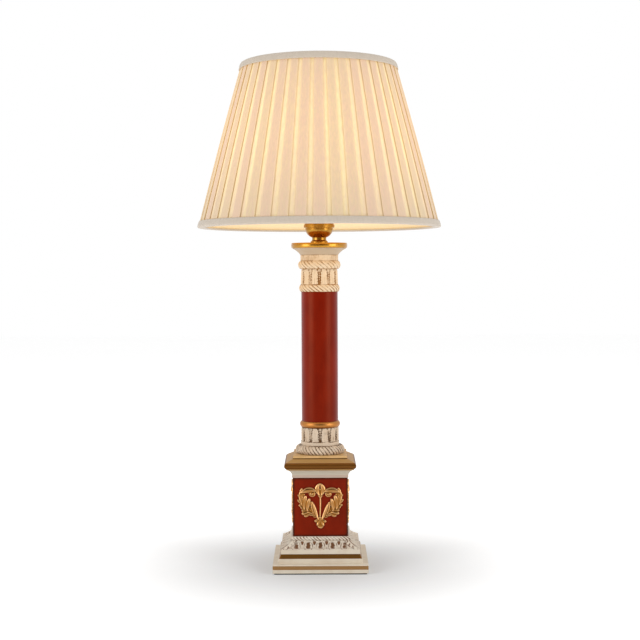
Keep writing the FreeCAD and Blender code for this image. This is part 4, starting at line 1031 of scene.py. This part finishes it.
# half a pleat, from the middle of a gap to the middle of a face. Columns run along the cloth,
# as (share of the pitch, depth in mm, glow, crease)
faceEdge = -shade["faceShare"] / 2
pleatSide = [
    # the single layer behind, up to the face's edge
    (-0.5, 1.9, 1.0, 0), (-0.45, 1.9, 1.0, 0), (faceEdge - 0.03, 1.9, 0.85, 0),
    (faceEdge - 0.005, 1.9, 0.6, 0.2),
    # forward under the face and doubled back
    (-0.3, 1.9, 0.1, 1), (-0.15, 1.9, 0.1, 1), (-0.05, 1.85, 0.1, 1), (-0.02, 1.75, 0.1, 1),
    (-0.02, 1.5, 0.1, 1), (-0.05, 1.4, 0.1, 1), (-0.15, 1.35, 0.1, 1), (-0.3, 1.3, 0.1, 1),
    # round the face's edge
    (faceEdge + 0.03, 1.2, 0.15, 1), (faceEdge + 0.01, 1.05, 0.2, 1), (faceEdge, 0.85, 0.3, 0.8),
    (faceEdge + 0.003, 0.6, 0.4, 0.45), (faceEdge + 0.012, 0.38, 0.4, 0.2),
    (faceEdge + 0.03, 0.26, 0.3, 0.05),
    # and over the face
    (faceEdge + 0.07, 0.18, 0.16, 0), (-0.22, 0.1, 0.05, 0), (-0.1, 0.04, 0.0, 0),
]
pleatMiddle = (0.0, 0.02, 0.0, 0)


# box pleats: the side above, its middle and its mirror image in each pitch, as columns of
# points on the cone, and rows up it. Faces vary in place, width and lean from pleat to pleat,
# while the gaps' middles stay where they are, so that the cloth joins
def pleatGrid():
    other = [(-share, *rest) for share, *rest in pleatSide[::-1]][:-1]
    share, depth, glow, crease = np.array(pleatSide + [pleatMiddle] + other).T
    count, rows = shade["pleats"], shade["rows"]
    up = np.linspace(shade["inset"], shade["height"] - shade["inset"], rows)
    v = up / shade["height"]
    spreads = (shade[key] for key in ("jitter", "widen", "lean"))
    jitter, widen, lean = (rng.normal(0, spread, (count, 1)) for spread in spreads)
    wave = rng.uniform(0, 2 * math.pi, (count, 1))
    tint = rng.uniform(0.0, 1.0, (count, 1, 1))
    inFace = (np.abs(share) < -faceEdge * 1.02)[None, :, None]
    scale = np.where(inFace, (1.0 + widen + 0.03 * (v - 0.4))[:, None, :], 1.0)
    drift = jitter + lean * (v - 0.5) + 0.006 * np.sin(wave + v * 5.0)
    atGap = (np.abs(np.abs(share) - 0.5) < 0.01)[None, :, None]
    place = share[None, :, None] * scale + np.where(atGap, 0.0, drift[:, None, :])
    angle = (np.arange(count)[:, None, None] + place) / count * 2 * math.pi
    sway = shade["sway"] * np.sin(wave[:, None] * 3 + v * 4.0) * (depth < 0.5)[None, :, None]
    puff = shade["puff"] * np.sin(np.pi * v)
    radius = coneRadius(up) + puff - depth[None, :, None] - shade["behind"] - np.abs(sway)
    height = np.broadcast_to(up + shade["foot"], radius.shape)
    points = np.stack([radius * np.sin(angle), -radius * np.cos(angle), height], axis=-1) * mm
    marks = {"glow": glow[None, :, None], "crease": crease[None, :, None], "tint": tint}
    for key, values in marks.items():
        marks[key] = np.broadcast_to(values, radius.shape).transpose(2, 0, 1).reshape(rows, -1)
    return points.transpose(2, 0, 1, 3).reshape(rows, -1, 3), marks


grid, marks = pleatGrid()
cover = piece(
    "pleatedCover", meshOf("pleatedCover", grid, "open", **marks), "pleated_fabric",
    pleatCloth, "pleated_cover", "shade",
)
wall = cover.modifiers.new("thickness", "SOLIDIFY")
wall.thickness = shade["thread"] * mm
wall.offset = 0.0
wall.use_even_offset = False


# a closed section carried round the cone: (outwards from the cone, height over its foot)
def hoopGrid(section, columns):
    section = np.array(section, float)
    turn = np.arange(columns) / columns * 2 * math.pi
    radius = (coneRadius(section[:, 1]) + section[:, 0])[:, None]
    height = np.broadcast_to(section[:, 1:] + shade["foot"], (len(section), columns))
    return np.stack([radius * np.sin(turn), -radius * np.cos(turn), height], axis=-1) * mm


# a smooth sleeve inside the frame, from one hem to the other
sleeve = {"outside": -7.0, "inside": -7.5, "foot": 2.0, "head": 202.0, "flat": (0.83, 0.21)}
levels = [sleeve["foot"], *np.linspace(14, 190, 9), sleeve["head"]]
sleeveSection = [(sleeve["inside"], sleeve["foot"])]
sleeveSection += [(sleeve["outside"], level) for level in levels]
sleeveSection += [(sleeve["inside"], level) for level in levels[:0:-1]]
lining = piece(
    "liningSleeve", meshOf("liningSleeve", hoopGrid(sleeveSection, 176), "looped"),
    "lining_fabric", liningCloth, "lining", "shade",
)

# a bias band folded over a hem: an outer leg that bulges, a roll round the edge and a
# shorter inner leg, and for each band its node and flat size
bandSection = [
    (0.35, 8.7), (0.85, 8.55), (1.15, 8.0), (1.3, 6.6), (1.42, 4.8), (1.4, 3.2), (1.2, 1.8),
    (0.7, 0.8), (-0.1, 0.25), (-1.4, 0.05), (-4.0, 0.0), (-6.8, 0.05), (-8.2, 0.25), (-8.9, 0.6),
    (-9.15, 1.1), (-9.15, 1.9), (-9.0, 2.4), (-8.6, 2.6), (-8.1, 2.4), (-8.0, 1.9), (-7.6, 1.3),
    (-6.4, 0.9), (-1.0, 0.9), (-0.2, 1.3), (0.1, 2.4), (0.2, 5.0), (0.15, 8.4),
]
topSection = [(out, shade["height"] - up) for out, up in bandSection]
bands = {
    "bottomBand": {"section": bandSection[::-1], "node": "bottom_trim", "flat": (0.93, 0.022)},
    "topBand": {"section": topSection, "node": "top_trim", "flat": (0.6, 0.022)},
}
for name, values in bands.items():
    mesh = meshOf(name, hoopGrid(values["section"], 220), "looped")
    band = piece(name, mesh, "trim_fabric", bandCloth, values["node"], "shade")
print("shade is made")

finishes.update({
    "brass": brassPaint, "cream_lacquer": creamPaint, "red_lacquer": redPaint,
    "gilt": discPaint, "opal_glass": opal.material, "pleated_fabric": pleatCloth,
    "lining_fabric": liningCloth, "trim_fabric": bandCloth,
})
for entry in frame["record"]["subparts"]:
    for slot in nodes[entry["node"]].material_slots:
        slot.material = finishes[entry["material_slot"]]

studio = {
    "distance": 1.600,   # of the camera from the axis, in metres
    "height": 0.3653,
    "aside": 0.0008,
    "lens": 71.79,
    "pitch": -2.04,      # in degrees
    "roll": 0.25,
    "fill": 0.42,        # the world's strength as a light
}
camera = objectOf("camera", bpy.data.cameras.new("camera"))
camera.data.lens = studio["lens"]
camera.data.sensor_width = 36.0
camera.data.clip_end = 50.0
camera.location = (studio["aside"], -studio["distance"], studio["height"])
camera.rotation_euler = (math.radians(90 + studio["pitch"]), math.radians(studio["roll"]), 0.0)
bpy.context.scene.camera = camera


def areaLight(name, place, target, size, power):
    lamp = bpy.data.lights.new(name, "AREA")
    lamp.shape = "RECTANGLE"
    lamp.size, lamp.size_y = size
    lamp.energy = power
    made = objectOf(name, lamp)
    made.location = place
    aim = Vector(target) - made.location
    made.rotation_euler = aim.to_track_quat("-Z", "Y").to_euler()


sideBox = {"target": (0, 0, 0.3), "size": (0.9, 1.4), "power": 12.0}
topBox = {"target": (0, 0, 0), "size": (1.6, 1.6), "power": 11.0}
areaLight("leftSoftbox", (-1.5, -0.95, 0.75), **sideBox)
areaLight("rightSoftbox", (1.5, -0.95, 0.75), **sideBox)
areaLight("topSoftbox", (0.0, 0.2, 2.3), **topBox)

# the world is white to the camera, to reflections and through glass, and dimmer as a light
world = bpy.data.worlds.new("studioWorld")
bpy.context.scene.world = world
world.use_nodes = True
tree = world.node_tree
background = tree.nodes["Background"]
ray = tree.nodes.new("ShaderNodeLightPath")
shown = ray.outputs["Is Camera Ray"]
for kind in ("Is Transmission Ray", "Is Glossy Ray"):
    either = tree.nodes.new("ShaderNodeMath")
    either.operation = "MAXIMUM"
    tree.links.new(shown, either.inputs[0])
    tree.links.new(ray.outputs[kind], either.inputs[1])
    shown = either.outputs[0]
strength = tree.nodes.new("ShaderNodeMapRange")
strength.inputs["To Min"].default_value = studio["fill"]
strength.inputs["To Max"].default_value = 1.0
tree.links.new(shown, strength.inputs["Value"])
tree.links.new(strength.outputs[0], background.inputs["Strength"])
background.inputs["Color"].default_value = (1.0, 1.0, 1.0, 1.0)


# a rectangle between two opposite corners, whose sides along x are level
def stagePlane(name, low, high, material):
    corners = [low, (high[0], *low[1:]), high, (low[0], *high[1:])]
    mesh = bpy.data.meshes.new(name)
    mesh.from_pydata(corners, [], [(0, 1, 2, 3)])
    mesh.materials.append(material)
    made = objectOf(name, mesh)
    return made


# a pale floor that glows a little, with a painted shadow, tinted a little blue, that darkens it
# towards the lamp within the shadow's radius
floor = {
    "low": (-6, -6, 0), "high": (6, 6, 0), "shadowRadius": 0.46,
    "near": (0.74, 0.765, 0.79), "far": (0.86, 0.86, 0.86),
    "shadowGlow": (0.04, 0.05, 0.06), "farGlow": (1.0, 1.0, 1.0), "glow": 0.6,
}
floorPaint = Paint("paleFloor", Specular_IOR_Level=0.1, Emission_Strength=floor["glow"])
x, y = floorPaint.axes()[:2]
away = ((x * x + y * y) ** 0.5 / floor["shadowRadius"]).over(0.0, 1.0) ** 0.8
floorPaint.set(
    Base_Color=floorPaint.blend(away, floor["near"], floor["far"]),
    Roughness=0.85 + 0.1 * floorPaint.noise(400.0),
    Emission_Color=floorPaint.blend(away, floor["shadowGlow"], floor["farGlow"]),
)
floorPaint.material.cycles.emission_sampling = "NONE"
stagePlane("floor", floor["low"], floor["high"], floorPaint.material)

# a dark flag behind the camera, which only reflections see, keeps the lacquer and metal deep
flagPaint = plainFinish("flagBlack", (0.01, 0.01, 0.01), 0.9)
flag = stagePlane("flag", (-2.0, -2.7, 0.02), (2.0, -2.7, 2.6), flagPaint)
flag.visible_camera = False
flag.visible_diffuse = False
flag.visible_shadow = False

bpy.context.scene.view_settings.view_transform = "Standard"
print("studio is set")
